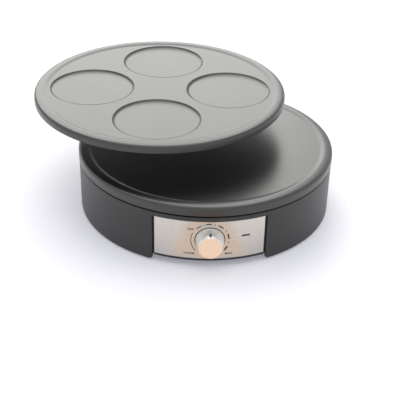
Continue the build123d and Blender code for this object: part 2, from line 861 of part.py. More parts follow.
with BuildPart() as control_knob:
    with BuildSketch(Plane.XY.offset(knob_height)):
        with BuildLine():
            Polyline(
                (0, -knob_back),
                (knob_hub_radius, -knob_back),
                (knob_hub_radius, -knob_hollow_front),
                (knob_shoulder_radius - knob_wall, -knob_hollow_front),
                (knob_base_radius - knob_wall, -knob_back),
                *knob_outer_profile(),
                (0, -knob_front),
                close=True,
            )
        make_face()
    revolve(axis=knob_axis)
    with BuildSketch(front_plane(knob_front - knob_insert_thickness, knob_height)):
        Circle(knob_insert_radius + close_gap)
    extrude(amount=knob_insert_thickness, mode=Mode.SUBTRACT)
    with BuildSketch(front_plane(pointer_back, knob_height)):
        with Locations((0, knob_face_radius)):
            Rectangle(pointer_width, knob_base_radius, align=(Align.CENTER, Align.MIN))
    extrude(amount=pointer_groove_length, mode=Mode.SUBTRACT)
    with BuildSketch(front_plane(knob_back, knob_height)):
        Circle(shaft_radius + close_gap)
        with Locations((0, shaft_radius - shaft_flat_depth + close_gap)):
            Rectangle(
                3 * shaft_radius,
                shaft_radius,
                align=(Align.CENTER, Align.MIN),
                mode=Mode.SUBTRACT,
            )
    extrude(amount=shaft_end - knob_back, mode=Mode.SUBTRACT)
    with BuildSketch(front_plane(knob_back, knob_height)):
        Circle(shaft_radius + close_gap)
    extrude(amount=shaft_end - shaft_flat_length - knob_back, mode=Mode.SUBTRACT)
finish(control_knob, "control_knob")

with BuildPart() as knob_face:
    with BuildSketch(front_plane(knob_front - knob_insert_thickness, knob_height)):
        Circle(knob_insert_radius)
    extrude(amount=knob_insert_thickness)
finish(knob_face, "knob_face")

with BuildPart() as knob_pointer:
    with BuildSketch(Plane.XY.offset(knob_height)):
        with BuildLine():
            Polyline(*knob_outer_profile(), (0, -knob_front), (0, -knob_back), close=True)
        make_face()
    revolve(axis=knob_axis)
    with BuildSketch(front_plane(pointer_back + close_gap, knob_height)):
        with Locations((0, knob_face_radius + close_gap)):
            Rectangle(
                pointer_width - 2 * close_gap,
                knob_base_radius,
                align=(Align.CENTER, Align.MIN),
            )
    extrude(amount=pointer_length, mode=Mode.INTERSECT)
finish(knob_pointer, "knob_pointer")

with BuildPart() as thermostat_shaft:
    with BuildSketch(front_plane(shaft_start, knob_height)):
        Circle(shaft_radius)
    extrude(amount=shaft_end - shaft_start)
    with BuildSketch(front_plane(shaft_end - shaft_flat_length, knob_height)):
        with Locations((0, shaft_radius - shaft_flat_depth)):
            Rectangle(3 * shaft_radius, shaft_radius, align=(Align.CENTER, Align.MIN))
    extrude(amount=shaft_flat_length, mode=Mode.SUBTRACT)
finish(thermostat_shaft, "thermostat_shaft")

# ================================================================ thermostat

with BuildPart() as thermostat_bracket:
    with BuildSketch(front_plane(bracket_distance, knob_height)):
        RectangleRounded(bracket_width, bracket_height, post_radius)
        Circle(bushing_thread_radius + close_gap, mode=Mode.SUBTRACT)
        with GridLocations(post_spacing, 1, 2, 1):
            Circle(screw_radius + close_gap, mode=Mode.SUBTRACT)
    extrude(amount=bracket_thickness)
finish(thermostat_bracket, "thermostat_bracket")

with BuildPart() as thermostat_screws:
    with BuildSketch(front_plane(bracket_distance, knob_height)):
        with GridLocations(post_spacing, 1, 2, 1):
            Circle(screw_head_radius)
    extrude(amount=-screw_head_height)
    with BuildSketch(front_plane(bracket_distance, knob_height)):
        with GridLocations(post_spacing, 1, 2, 1):
            Circle(screw_radius)
    extrude(amount=bracket_thickness + screw_length / 2)
finish(thermostat_screws, "thermostat_screws")

with BuildPart() as thermostat_nut:
    with BuildSketch(front_plane(bracket_front, knob_height)):
        RegularPolygon(nut_across_flats / 2, 6, major_radius=False)
        Circle(bushing_thread_radius + close_gap, mode=Mode.SUBTRACT)
    extrude(amount=nut_thickness)
finish(thermostat_nut, "thermostat_nut")

with BuildPart() as thermostat_body:
    with BuildSketch(front_plane(thermostat_back, knob_height)):
        RectangleRounded(thermostat_width, thermostat_height, post_radius)
    extrude(amount=thermostat_depth)
    with BuildSketch(front_plane(bracket_distance, knob_height)):
        Circle(bushing_thread_radius)
    extrude(amount=bushing_thread_length)
    with BuildSketch(front_plane(shaft_start, knob_height)):
        Circle(shaft_radius + running_gap)
    extrude(amount=shaft_tail + bushing_thread_length, mode=Mode.SUBTRACT)
    with BuildSketch(front_plane(thermostat_back, tab_level)):
        with GridLocations(tab_spacing, 1, 2, 1):
            Rectangle(tab_thickness, tab_height)
    extrude(amount=-tab_length)
finish(thermostat_body, "thermostat_body")

# ================================================================ reflector and heat shield

with BuildPart() as reflector_pan:
    revolve_outline(
        (
            (0, reflector_underside),
            (reflector_wall_radius, reflector_underside),
            (reflector_wall_radius, seat_level),
            (reflector_rim_radius, seat_level),
            (reflector_rim_radius, plate_bottom),
            (reflector_wall_radius - reflector_sheet, plate_bottom),
            (reflector_wall_radius - reflector_sheet, reflector_floor),
            (0, reflector_floor),
        )
    )
    for places, hole_radius in (
        (((0, 0),), sleeve_hole_radius),
        (element_leg_places, bushing_body_radius + close_gap),
        (spacer_places, screw_radius + close_gap),
        (clip_screw_places, screw_radius + close_gap),
        (sleeve_screw_places, screw_radius + close_gap),
    ):
        cylinders(places, hole_radius, reflector_underside, reflector_floor, mode=Mode.SUBTRACT)
    flush_heads(close_gap, Mode.SUBTRACT)
finish(reflector_pan, "reflector_pan")

with BuildPart() as reflector_screws:
    flush_heads(0, Mode.ADD)
    cylinders(
        reflector_screw_places,
        screw_radius,
        plate_bottom - reflector_screw_length,
        plate_bottom - flush_head_depth,
    )
    with BuildSketch(Plane.XY.offset(plate_bottom)):
        with Locations(*reflector_screw_places):
            Rectangle(2 * flush_head_radius, screw_slot_width)
    extrude(amount=-screw_slot_depth / 2, mode=Mode.SUBTRACT)
finish(reflector_screws, "reflector_screws")

with BuildPart() as heat_shield:
    with BuildSketch(Plane.XY.offset(shield_underside)):
        Circle(shield_radius)
        behind_front_edge(shield_radius, shield_chord)
    extrude(amount=shield_sheet)
    for places, hole_radius in (
        (((0, 0),), sleeve_radius + leg_hole_gap / 2),
        (element_leg_places, element_radius + leg_hole_gap),
        (spacer_places, screw_radius + close_gap),
    ):
        cylinders(places, hole_radius, shield_underside, shield_top, mode=Mode.SUBTRACT)
finish(heat_shield, "heat_shield")

with BuildPart() as shield_spacers:
    cylinders(spacer_places, spacer_radius, shield_top, reflector_underside)
    cylinders(
        spacer_places, screw_radius + close_gap, shield_top, reflector_underside, mode=Mode.SUBTRACT
    )
finish(shield_spacers, "shield_spacers")

with BuildPart() as shield_screws:
    screws(
        spacer_places,
        shield_underside,
        reflector_floor + nut_height + reflector_sheet - shield_underside,
        upward=True,
    )
finish(shield_screws, "shield_screws")

with BuildPart() as shield_nuts:
    with BuildSketch(Plane.XY.offset(reflector_floor)):
        with Locations(*spacer_places):
            RegularPolygon(spacer_radius, 6, major_radius=False)
        with Locations(*spacer_places):
            Circle(screw_radius + close_gap, mode=Mode.SUBTRACT)
    extrude(amount=nut_height)
finish(shield_nuts, "shield_nuts")

# ================================================================ heating element

with BuildPart() as heating_element:
    with BuildSketch(radial_plane(90 + element_gap_angle)):
        with Locations((element_ring_radius, element_level)):
            Circle(element_radius)
    revolve(axis=Axis.Z, revolution_arc=360 - 2 * element_gap_angle)
    for side in (-1, 1):
        ring_end = (side * element_end_x, element_end_y, element_level)
        bend_centre = (side * element_end_x, element_end_y, element_level - element_bend)
        onward = (-side * element_way_x, element_way_y, 0)
        with BuildSketch(Plane(origin=ring_end, z_dir=onward)):
            Circle(element_radius)
        revolve(axis=Axis(bend_centre, (-element_way_y, -side * element_way_x, 0)), revolution_arc=90)
    cylinders(element_leg_places, element_radius, element_leg_end, element_level - element_bend)
finish(heating_element, "heating_element")

with BuildPart() as element_bushings:
    cylinders(element_leg_places, bushing_radius, reflector_floor, reflector_floor + bushing_height)
    cylinders(element_leg_places, bushing_body_radius, reflector_underside, reflector_floor)
    cylinders(
        element_leg_places,
        element_radius + close_gap,
        reflector_underside,
        reflector_floor + bushing_height,
        mode=Mode.SUBTRACT,
    )
finish(element_bushings, "element_bushings")

with BuildPart() as element_terminals:
    cylinders(
        element_leg_places, collar_radius, element_leg_end - collar_height, element_leg_end
    )
    for place in element_leg_places:
        block(place, (blade_width, blade_thickness, blade_length), blade_end)
finish(element_terminals, "element_terminals")

with BuildPart() as element_clips:
    for angle in clip_angles:
        upright_height = element_level + clip_rise - reflector_floor
        with BuildSketch(radial_plane(angle)):
            with Locations((element_ring_radius, reflector_floor)):
                Rectangle(clip_width, upright_height, align=(Align.CENTER, Align.MIN))
            with Locations((element_ring_radius, element_level)):
                Circle(element_radius + close_gap, mode=Mode.SUBTRACT)
                Rectangle(
                    2 * (element_radius + close_gap),
                    upright_height,
                    align=(Align.CENTER, Align.MIN),
                    mode=Mode.SUBTRACT,
                )
        extrude(amount=clip_sheet / 2, both=True)
        with BuildSketch(Plane.XY.offset(reflector_floor)):
            with Locations(Location((0, 0, 0), (0, 0, angle))):
                with Locations((element_ring_radius, clip_foot / 2)):
                    Rectangle(clip_width, clip_foot)
        extrude(amount=clip_sheet)
    cylinders(
        clip_screw_places,
        screw_radius + close_gap,
        reflector_floor,
        reflector_floor + clip_sheet,
        mode=Mode.SUBTRACT,
    )
finish(element_clips, "element_clips")

with BuildPart() as clip_screws:
    screws(
        clip_screw_places,
        reflector_floor + clip_sheet,
        clip_sheet + reflector_sheet + nut_height + reflector_sheet,
        upward=False,
    )
finish(clip_screws, "clip_screws")

with BuildPart() as clip_nuts:
    with BuildSketch(Plane.XY.offset(reflector_underside - nut_height)):
        with Locations(*clip_screw_places):
            RegularPolygon(spacer_radius, 6, major_radius=False)
        with Locations(*clip_screw_places):
            Circle(screw_radius + close_gap, mode=Mode.SUBTRACT)
    extrude(amount=nut_height)
finish(clip_nuts, "clip_nuts")

# ================================================================ temperature sensor

with BuildPart() as sensor_sleeve:
    revolve_outline(
        (
            (capillary_radius + capillary_hole_gap, sleeve_bottom),
            (sleeve_radius, sleeve_bottom),
            (sleeve_radius, reflector_floor),
            (sleeve_radius + sleeve_flange_reach, reflector_floor),
            (sleeve_radius + sleeve_flange_reach, reflector_floor + sleeve_flange_thickness),
            (sleeve_radius, reflector_floor + sleeve_flange_thickness),
            (sleeve_radius, sleeve_top),
            (sleeve_bore, sleeve_top),
            (sleeve_bore, spring_seat),
            (capillary_radius + capillary_hole_gap, spring_seat),
        )
    )
    cylinders(
        sleeve_screw_places,
        screw_radius + close_gap,
        reflector_floor,
        reflector_floor + sleeve_flange_thickness,
        mode=Mode.SUBTRACT,
    )
finish(sensor_sleeve, "sensor_sleeve")

with BuildPart() as sleeve_screws:
    screws(
        sleeve_screw_places,
        reflector_floor + sleeve_flange_thickness,
        sleeve_flange_thickness + reflector_sheet + nut_height,
        upward=False,
        head=sleeve_flange_reach / 2 - close_gap,
    )
finish(sleeve_screws, "sleeve_screws")

with BuildPart() as sensor_cap:
    revolve_outline(
        (
            (0, sensor_ceiling),
            (sensor_stem_bore, sensor_ceiling),
            (sensor_stem_bore, sensor_ceiling - sensor_stem_length),
            (sensor_stem_radius, sensor_ceiling - sensor_stem_length),
            (sensor_stem_radius, sensor_ceiling),
            (sensor_cap_radius, sensor_ceiling),
            (sensor_cap_radius, sensor_top - sensor_cap_chamfer),
            (sensor_cap_radius - sensor_cap_chamfer, sensor_top),
            (0, sensor_top),
        )
    )
finish(sensor_cap, "sensor_cap")

with BuildPart() as sensor_bulb:
    cylinders(((0, 0),), bulb_radius, sensor_ceiling - bulb_length, sensor_ceiling)
    cylinders(
        ((0, 0),),
        capillary_radius,
        sensor_ceiling - bulb_length - bulb_tail_length,
        sensor_ceiling - bulb_length,
    )
finish(sensor_bulb, "sensor_bulb")

spring_height = sensor_ceiling - spring_seat - 2 * spring_wire_radius
with BuildPart() as sensor_spring:
    with BuildLine() as coil:
        Helix(
            pitch=spring_height / spring_turns,
            height=spring_height,
            radius=spring_radius,
            center=(0, 0, spring_seat + spring_wire_radius),
        )
    with BuildSketch(Plane(origin=coil.line @ 0, z_dir=coil.line % 0)):
        Circle(spring_wire_radius)
    sweep(path=coil.line, is_frenet=True)
finish(sensor_spring, "sensor_spring")

with BuildPart() as capillary_tube:
    wire(
        (
            (0, 0, sleeve_bottom + sleeve_floor / 2),
            (0, 0, sleeve_bottom - capillary_drop),
            (0, -thermostat_back, sleeve_bottom - capillary_drop),
        ),
        capillary_bend,
        capillary_radius,
    )
finish(capillary_tube, "capillary_tube")

# ================================================================ mains connection

with BuildPart() as terminal_block:
    block((0, block_middle), (block_width, block_depth, block_height), block_bottom)
    with BuildSketch(Plane.XZ.offset(-block_front)):
        with Locations(*[(step * pole_spacing, port_level) for step in (-1, 0, 1)]):
            Circle(wire_radius + port_gap)
    extrude(amount=-block_depth, mode=Mode.SUBTRACT)
    cylinders(
        block_screw_places, screw_radius + close_gap, block_bottom, block_top, mode=Mode.SUBTRACT
    )
    cylinders(
        pole_places, pole_screw_radius, block_top - pole_screw_depth, block_top, mode=Mode.SUBTRACT
    )
finish(terminal_block, "terminal_block")

with BuildPart() as pole_screws:
    cylinders(pole_places, pole_screw_radius - close_gap, block_top - pole_screw_depth, block_top)
    with BuildSketch(Plane.XY.offset(block_top)):
        with Locations(*pole_places):
            Rectangle(3 * pole_screw_radius, screw_slot_width)
    extrude(amount=-screw_slot_depth, mode=Mode.SUBTRACT)
finish(pole_screws, "pole_screws")

with BuildPart() as block_screws:
    screws(block_screw_places, block_top, block_height + block_pad_height, upward=False)
finish(block_screws, "block_screws")

gland_axis = Axis((0, 0, cord_height), (0, 1, 0))
with BuildPart() as cord_gland:
    with BuildSketch(Plane.XY.offset(cord_height)):
        with BuildLine():
            Polyline(
                (cord_radius, gland_inner),
                (gland_radius, gland_inner),
                (gland_radius, gland_lip_face - gland_lip),
                (gland_lip_radius, gland_lip_face - gland_lip),
                (gland_lip_radius, gland_lip_face),
                (gland_radius, gland_lip_face),
                (gland_radius, housing_radius),
                (gland_flange_radius, housing_radius),
                (gland_flange_radius, gland_outer - gland_flange / 3),
                (gland_flange_radius - gland_flange / 3, gland_outer),
                (cord_radius, gland_outer),
                close=True,
            )
        make_face()
    revolve(axis=gland_axis)
finish(cord_gland, "cord_gland")

with BuildPart() as cord_clamp:
    block((0, clamp_centre), (clamp_width, clamp_depth, clamp_height), clamp_level)
    cylinders(
        clamp_post_places,
        screw_radius + close_gap,
        clamp_level,
        clamp_level + clamp_height,
        mode=Mode.SUBTRACT,
    )
finish(cord_clamp, "cord_clamp")

with BuildPart() as clamp_screws:
    screws(
        clamp_post_places,
        clamp_level + clamp_height,
        clamp_height + screw_length / 2,
        upward=False,
    )
finish(clamp_screws, "clamp_screws")

with BuildPart() as thermal_fuse:
    with BuildSketch(Plane.YZ.offset(fuse_x - fuse_length / 2)):
        with Locations((fuse_y, fuse_level)):
            Circle(fuse_radius)
    extrude(amount=fuse_length)
finish(thermal_fuse, "thermal_fuse")

with BuildPart() as fuse_clip:
    strap_radius = fuse_radius + close_gap + fuse_strap
    with BuildSketch(Plane.YZ.offset(fuse_x - fuse_strap_width / 2)):
        with Locations((fuse_y, fuse_level)):
            Circle(strap_radius)
            Rectangle(2 * strap_radius, strap_radius, align=(Align.CENTER, Align.MIN))
        with Locations((fuse_y, shield_underside)):
            Rectangle(
                2 * (strap_radius + fuse_strap_foot), fuse_strap, align=(Align.CENTER, Align.MAX)
            )
            Rectangle(
                4 * strap_radius, strap_radius, align=(Align.CENTER, Align.MIN), mode=Mode.SUBTRACT
            )
        with Locations((fuse_y, fuse_level)):
            Circle(fuse_radius + close_gap, mode=Mode.SUBTRACT)
            Rectangle(
                2 * (fuse_radius + close_gap),
                strap_radius,
                align=(Align.CENTER, Align.MIN),
                mode=Mode.SUBTRACT,
            )
    extrude(amount=fuse_strap_width)
finish(fuse_clip, "fuse_clip")

with BuildPart() as earth_lug:
    block(
        (lug_x, lug_y), (lug_size, lug_size, lug_thickness), shield_underside - lug_thickness
    )
finish(earth_lug, "earth_lug")

# ================================================================ wires inside the base

tab_end = tab_length - thermostat_back
tab_x = tab_spacing / 2
port_end = block_front + wire_insert
tab_wire_y = tab_end - tab_length / 2
port_lead = block_front - wire_lead
fuse_left = fuse_x - fuse_length / 2
fuse_right = fuse_x + fuse_length / 2

with BuildPart() as live_wire:
    wire(
        (
            (-pole_spacing, port_end, port_level),
            (-pole_spacing, port_lead, port_level),
            (-live_run_x, run_rear, live_run_level),
            (-live_run_x, -run_front, live_run_level),
            (-tab_x, tab_end + wire_lead, tab_level),
            (-tab_x, tab_end, tab_level),
        ),
        wide_bend,
    )
finish(live_wire, "live_wire")

with BuildPart() as switched_wire:
    wire(
        (
            (tab_x, tab_end, tab_level),
            (tab_x, tab_end + wire_lead, tab_level),
            (switched_run_x, -run_front, switched_run_level),
            (switched_run_x, run_rear, switched_run_level),
            (switched_run_x, fuse_y, fuse_level),
            (fuse_right, fuse_y, fuse_level),
        ),
        close_bend,
    )
finish(switched_wire, "switched_wire")

with BuildPart() as fuse_wire:
    wire(
        (
            (fuse_left, fuse_y, fuse_level),
            (fuse_left - wire_lead, fuse_y, fuse_level),
            (fuse_left - wire_lead, fuse_y, loop_level),
            (element_leg_x, element_leg_y, loop_level),
            (element_leg_x, element_leg_y, blade_end),
        ),
        tight_bend,
    )
finish(fuse_wire, "fuse_wire")

with BuildPart() as neutral_wire:
    wire(
        (
            (0, port_end, port_level),
            (0, loop_front, port_level),
            (-element_leg_x, loop_front, loop_level),
            (-element_leg_x, element_leg_y, loop_level),
            (-element_leg_x, element_leg_y, blade_end),
        ),
        tight_bend,
    )
finish(neutral_wire, "neutral_wire")

with BuildPart() as earth_wire:
    wire(
        (
            (pole_spacing, port_end, port_level),
            (pole_spacing, port_lead, port_level),
            (lug_x, lug_y, port_level),
            (lug_x, lug_y, shield_underside - lug_thickness),
        ),
        close_bend,
    )
finish(earth_wire, "earth_wire")

lamp_leads = [
    [
        front_plane(lamp_box_back, lamp_height, lamp_angle).from_local_coords((side, 0, depth))
        for depth in (0, -wire_lead)
    ]
    for side in (-lamp_radius, lamp_radius)
]
with BuildPart() as lamp_wires:
    wire(
        (
            *lamp_leads[0],
            (tab_x + wire_lead, tab_wire_y, tab_level),
            (tab_x + tab_thickness / 2, tab_wire_y, tab_level),
        ),
        tight_bend,
        lamp_wire_radius,
    )
    wire(
        (
            *lamp_leads[1],
            (lamp_run_x, -run_front, lamp_run_level),
            (lamp_run_x, 0, lamp_run_level),
            (0, run_rear, blade_middle),
            (0, element_leg_y, blade_middle),
            (blade_width / 2 - element_leg_x, element_leg_y, blade_middle),
        ),
        tight_bend,
        lamp_wire_radius,
    )
finish(lamp_wires, "lamp_wires")

# ================================================================ plates

with BuildPart() as crepe_plate:
    cast_plate(plate_bottom, crepe_plate_height, crepe_underside, (0, 0))
    with BuildSketch(Plane.XY.offset(heated_face)):
        Circle(element_ring_radius + heater_pad_width / 2)
        Circle(element_ring_radius - heater_pad_width / 2, mode=Mode.SUBTRACT)
        Circle(sensor_pad_radius)
    extrude(amount=crepe_underside - heated_face)
finish(crepe_plate, "crepe_plate")

with BuildPart() as pancake_plate:
    plate_centre = (pancake_offset_x, pancake_offset_y)
    cast_plate(pancake_bottom, pancake_plate_height, pancake_bottom + plate_hollow, plate_centre)
    mould_places = [
        (
            pancake_offset_x + mould_pitch_radius * cos(radians(mould_turn + step * 360 / mould_count)),
            pancake_offset_y + mould_pitch_radius * sin(radians(mould_turn + step * 360 / mould_count)),
            pancake_surface - mould_depth / 2,
        )
        for step in range(mould_count)
    ]
    with Locations(*mould_places):
        Cone(
            mould_radius - mould_wall_run / 2,
            mould_radius + mould_wall_run / 2,
            mould_depth,
            mode=Mode.SUBTRACT,
        )
    mould_edges = pancake_plate.edges().filter_by(
        lambda edge: edge.geom_type == GeomType.CIRCLE
        and abs(edge.radius - mould_radius) < mould_wall_run
    )
    fillet(mould_edges, radius=mould_round)
finish(pancake_plate, "pancake_plate")
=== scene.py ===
"""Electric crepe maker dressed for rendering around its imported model.

Metres, +Z up, the control panel faces -Y. The file is laid out as an add-on and run as a script.
"""

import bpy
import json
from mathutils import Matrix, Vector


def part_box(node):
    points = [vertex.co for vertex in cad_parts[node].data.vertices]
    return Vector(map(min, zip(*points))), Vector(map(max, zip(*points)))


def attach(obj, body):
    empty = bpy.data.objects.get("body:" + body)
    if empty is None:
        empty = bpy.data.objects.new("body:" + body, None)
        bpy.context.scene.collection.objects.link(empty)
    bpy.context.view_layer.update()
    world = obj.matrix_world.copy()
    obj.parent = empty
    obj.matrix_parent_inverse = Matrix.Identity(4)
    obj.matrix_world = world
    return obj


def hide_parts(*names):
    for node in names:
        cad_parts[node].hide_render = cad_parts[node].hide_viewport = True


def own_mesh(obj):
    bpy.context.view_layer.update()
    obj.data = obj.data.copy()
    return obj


bl_info = {
    "name": "Electric crepe maker",
    "version": (1, 0, 0),
    "blender": (4, 5, 0),
    "location": "3D View > Sidebar > Crepe maker",
    "description": "Cast plates, housing, control panel, knob and finishes of an electric crepe maker",
    "category": "Object",
}

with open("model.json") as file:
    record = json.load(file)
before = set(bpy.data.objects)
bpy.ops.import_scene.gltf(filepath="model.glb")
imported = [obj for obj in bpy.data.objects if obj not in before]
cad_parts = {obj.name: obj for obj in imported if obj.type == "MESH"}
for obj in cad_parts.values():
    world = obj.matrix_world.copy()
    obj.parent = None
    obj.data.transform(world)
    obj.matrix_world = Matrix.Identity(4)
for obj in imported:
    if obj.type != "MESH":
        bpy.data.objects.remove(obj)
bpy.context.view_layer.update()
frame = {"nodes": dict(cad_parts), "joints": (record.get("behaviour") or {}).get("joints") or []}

import json
from math import asin, atan2, cos, hypot, pi, radians, sin

import bmesh
import bpy
from bpy.props import FloatProperty, FloatVectorProperty, IntProperty, PointerProperty
from mathutils import Matrix, Vector

MM = 0.001
UP = Vector((0, 0, 1))
OUT = Vector((0, -1, 0))  # out of the control panel
SHARP = radians(50)       # an edge that turns by more than this is sharp


def high(node):
    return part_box(node)[1]


def low(node):
    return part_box(node)[0]


def middle(node):
    bottom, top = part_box(node)
    return (bottom + top) / 2


def steps(count):
    """Even shares from 0 to 1."""
    return [number / count for number in range(count + 1)]


# ================================================================ sizes and colours


def length(name, description, default):
    return FloatProperty(
        name=name, description=description, default=default, subtype="DISTANCE", unit="LENGTH"
    )


def colour(name, description, default):
    return FloatVectorProperty(
        name=name, description=description, default=default, subtype="COLOR", min=0, max=1, size=3
    )


def angle(name, description, default):
    return FloatProperty(
        name=name, description=description, default=radians(default), subtype="ANGLE", unit="ROTATION"
    )


def count(name, description, default, least=3):
    return IntProperty(name=name, description=description, default=default, min=least)


def share(name, description, default):
    return FloatProperty(
        name=name, description=description, default=default, min=0, max=1, subtype="FACTOR"
    )


def power(name, description, default):
    return FloatProperty(name=name, description=description, default=default, min=0, unit="POWER")


class CrepeMakerPlates(bpy.types.PropertyGroup):
    """Shape and coating of the two cast plates"""

    sides: count("Sides", "Sides of a turned plate", 240)
    radius: length("Radius", "Outer radius of a plate", high("crepe_plate").x)
    crest: length("Crest", "Outer edge to the crest of the bead", 11.0 * MM)
    crest_round: length("Crest round", "Radius across the crest of the bead", 45.0 * MM)
    shoulder: length("Shoulder", "Outer edge to the start of the shoulder", 3.5 * MM)
    foot: length("Foot", "Outer edge to the foot of the bead", 16.0 * MM)
    groove: length("Groove", "Groove at the foot, under the cooking surface", 0.15 * MM)
    groove_run: length("Groove run", "Foot of the bead to the flat surface", 1.5 * MM)
    skirt_rise: length("Skirt rise", "Lower edge of the rib to the lower edge of the skirt", 0.5 * MM)
    lower_edge: length("Lower edge", "Round of the lower edge", 0.25 * MM)
    drop: length("Drop", "Crest of the bead to the cooking surface", 1.4 * MM)
    skirt_wall: length("Skirt wall", "Thickness of the skirt", 4.0 * MM)
    rib_inset: length("Rib inset", "Outer edge to the locating rib", 14.5 * MM)
    rib_width: length("Rib width", "Width of the locating rib", 4.0 * MM)
    hollow: length("Hollow", "Lower edge to the heated face", 3.6 * MM)
    thickness: length("Thickness", "Cast metal under the cooking surface", 4.2 * MM)
    heater_ring: length("Heater ring", "Middle of the heater pad", 100.0 * MM)
    heater_pad: length("Heater pad", "Width of the heater pad", 28.0 * MM)
    sensor_pad: length("Sensor pad", "Radius of the sensor pad", 16.0 * MM)
    mould: length("Mould", "Radius of a mould at its rim", 55.2 * MM)
    mould_pitch: length("Mould pitch", "Middle of the plate to the moulds", 89.8 * MM)
    mould_depth: length("Mould depth", "Depth of a mould", 2.5 * MM)
    mould_edge: length("Mould edge", "Round of the edge of a mould", 0.25 * MM)
    mould_run: length("Mould run", "Run of the hollow wall", 4.8 * MM)
    mould_turn: angle("Mould turn", "Turn of the moulds about the plate", -2.5)
    mould_sides: count("Mould sides", "Sides of a turned mould", 144)
    moulds: count("Moulds", "Number of moulds", 4, least=1)
    coating: colour("Coating", "Colour of the non-stick coating", (0.002, 0.002, 0.0021))
    coating_roughness: share("Coating roughness", "Roughness of the coating", 0.32)


class CrepeMakerHousing(bpy.types.PropertyGroup):
    """Moulded parts of the base"""

    edge: length("Edge", "Round of the edges of the shell", 0.6 * MM)
    small_edge: length("Small edge", "Round of the edges of the carrier", 0.25 * MM)
    opening: angle("Opening", "Turn from the middle of the opening to past its side", 26.74)
    lowest_edge: length("Lowest edge", "Floor to the lowest edge that is rounded", 2.2 * MM)
    plastic: colour("Plastic", "Colour of the housing", (0.030, 0.029, 0.029))
    inner_plastic: colour("Inner plastic", "Colour of the cover and carrier", (0.020, 0.020, 0.021))
    rubber: colour("Rubber", "Colour of the feet and gland", (0.018, 0.018, 0.018))


class CrepeMakerPanel(bpy.types.PropertyGroup):
    """Steel control panel and its print"""

    edge: length("Edge", "Broken edge of the steel sheet", 0.12 * MM)
    steel: colour("Steel", "Colour of the brushed steel", (0.62, 0.58, 0.535))
    ink: colour("Ink", "Colour of the print and the pointer", (0.035, 0.034, 0.034))
    mark_ring: length("Mark ring", "Middle of the knob to the marks", 22.7 * MM)
    mark_length: angle("Mark length", "Turn from end to end of a mark", 18.0)
    mark_width: length("Mark width", "Width of the narrowest mark", 1.2 * MM)
    mark_growth: length("Mark growth", "Each mark is wider than the one before", 0.22 * MM)
    sweep_width: length("Sweep width", "Width of the long thin line", 0.9 * MM)
    digit: length("Digit", "Height of the digits", 3.4 * MM)
    word: length("Word", "Height of the words", 4.2 * MM)
    ink_thickness: length("Ink thickness", "Print stands out from the steel", 0.05 * MM)
    lens: colour("Lens", "Colour of the indicator lens", (0.030, 0.012, 0.010))


class CrepeMakerKnob(bpy.types.PropertyGroup):
    """Turned knob with a disc in its face"""

    sides: count("Sides", "Sides of the turned knob", 128)
    rim: length("Rim", "Straight rim at the back", 2.6 * MM)
    shoulder: length("Shoulder", "Radius where the bevel starts", 15.9 * MM)
    face: length("Face", "Radius of the flat face", 14.6 * MM)
    bevel: length("Bevel", "Face back to the shoulder", 4.5 * MM)
    wall: length("Wall", "Wall of the skirt", 2.1 * MM)
    front_wall: length("Front wall", "Face to the hollow", 7.4 * MM)
    groove_front: length("Groove front", "Face to the groove of the pointer", 0.8 * MM)
    groove_length: length("Groove length", "Length of the groove of the pointer", 6.0 * MM)
    groove_width: length("Groove width", "Width of the groove of the pointer", 2.8 * MM)
    hub: length("Hub", "Radius of the hub", 6.0 * MM)
    slip: length("Slip", "Clearance round the disc and the shaft", 0.05 * MM)
    edge: length("Edge", "Round of the edges", 0.35 * MM)
    pointer_edge: length("Pointer edge", "Round of the edges of the pointer", 0.15 * MM)
    disc_edge: length("Disc edge", "Broken edge of the disc", 0.2 * MM)
    disc_step: length("Disc step", "Face back to the disc", 0.02 * MM)
    silver: colour("Silver", "Colour of the knob", (0.93, 0.92, 0.87))
    # The disc is silver; its peach tone is a painted warm reflection of warm things in front of it.
    disc: colour("Disc", "Colour of the disc in the face", (0.92, 0.80, 0.695))


class CrepeMakerStage(bpy.types.PropertyGroup):
    """Floor, lamps and camera"""

    focal_length: FloatProperty(
        name="Focal length", description="Lens of the camera", default=80.38, unit="CAMERA"
    )
    floor_size: length("Floor size", "Side of the floor", 12.0)
    floor: colour("Floor", "Colour of the floor", (0.86, 0.86, 0.87))
    lift: colour("Lift", "Light that the floor adds where it is seen", (0.22, 0.22, 0.25))
    far_lift: colour("Far lift", "The same where the floor turns white", (0.46, 0.46, 0.44))
    fade_start: length("Fade start", "Middle of the floor to where it starts to turn white", 1.9)
    fade_end: length("Fade end", "Middle of the floor to where it is white", 3.0)
    ambient: colour("Ambient", "Light from all round", (0.66, 0.665, 0.69))
    key: colour("Key", "Colour of the large lamp", (1.0, 1.0, 0.955))
    key_power: power("Key power", "Large lamp behind", 43)
    top_power: power("Top power", "Lamp overhead", 9)
    top_width: length("Top width", "Width of the lamp overhead", 2.0)
    top_height: length("Top height", "Floor to the lamp overhead", 2.2)
    key_width: length("Key width", "Width of the large lamp", 1.95)
    key_height: length("Key height", "Height of the large lamp", 2.75)
    key_distance: length("Key distance", "Object to the large lamp", 2.4)
    key_elevation: angle("Key elevation", "Height of the large lamp over the floor", 40)
    key_azimuth: angle("Key azimuth", "Turn of the large lamp to the right", -8)
    card: colour("Card", "Colour of the warm card on the floor", (0.98, 0.82, 0.70))
    card_width: length("Card width", "Width of the warm card", 0.12)
    card_depth: length("Card depth", "Depth of the warm card", 0.16)
    card_front: length("Card front", "Axis of the base to the middle of the warm card", 0.26)


class CrepeMakerSettings(bpy.types.PropertyGroup):
    """Everything that can be changed"""

    plates: PointerProperty(type=CrepeMakerPlates)
    housing: PointerProperty(type=CrepeMakerHousing)
    panel: PointerProperty(type=CrepeMakerPanel)
    knob: PointerProperty(type=CrepeMakerKnob)
    stage: PointerProperty(type=CrepeMakerStage)


# ================================================================ finishes


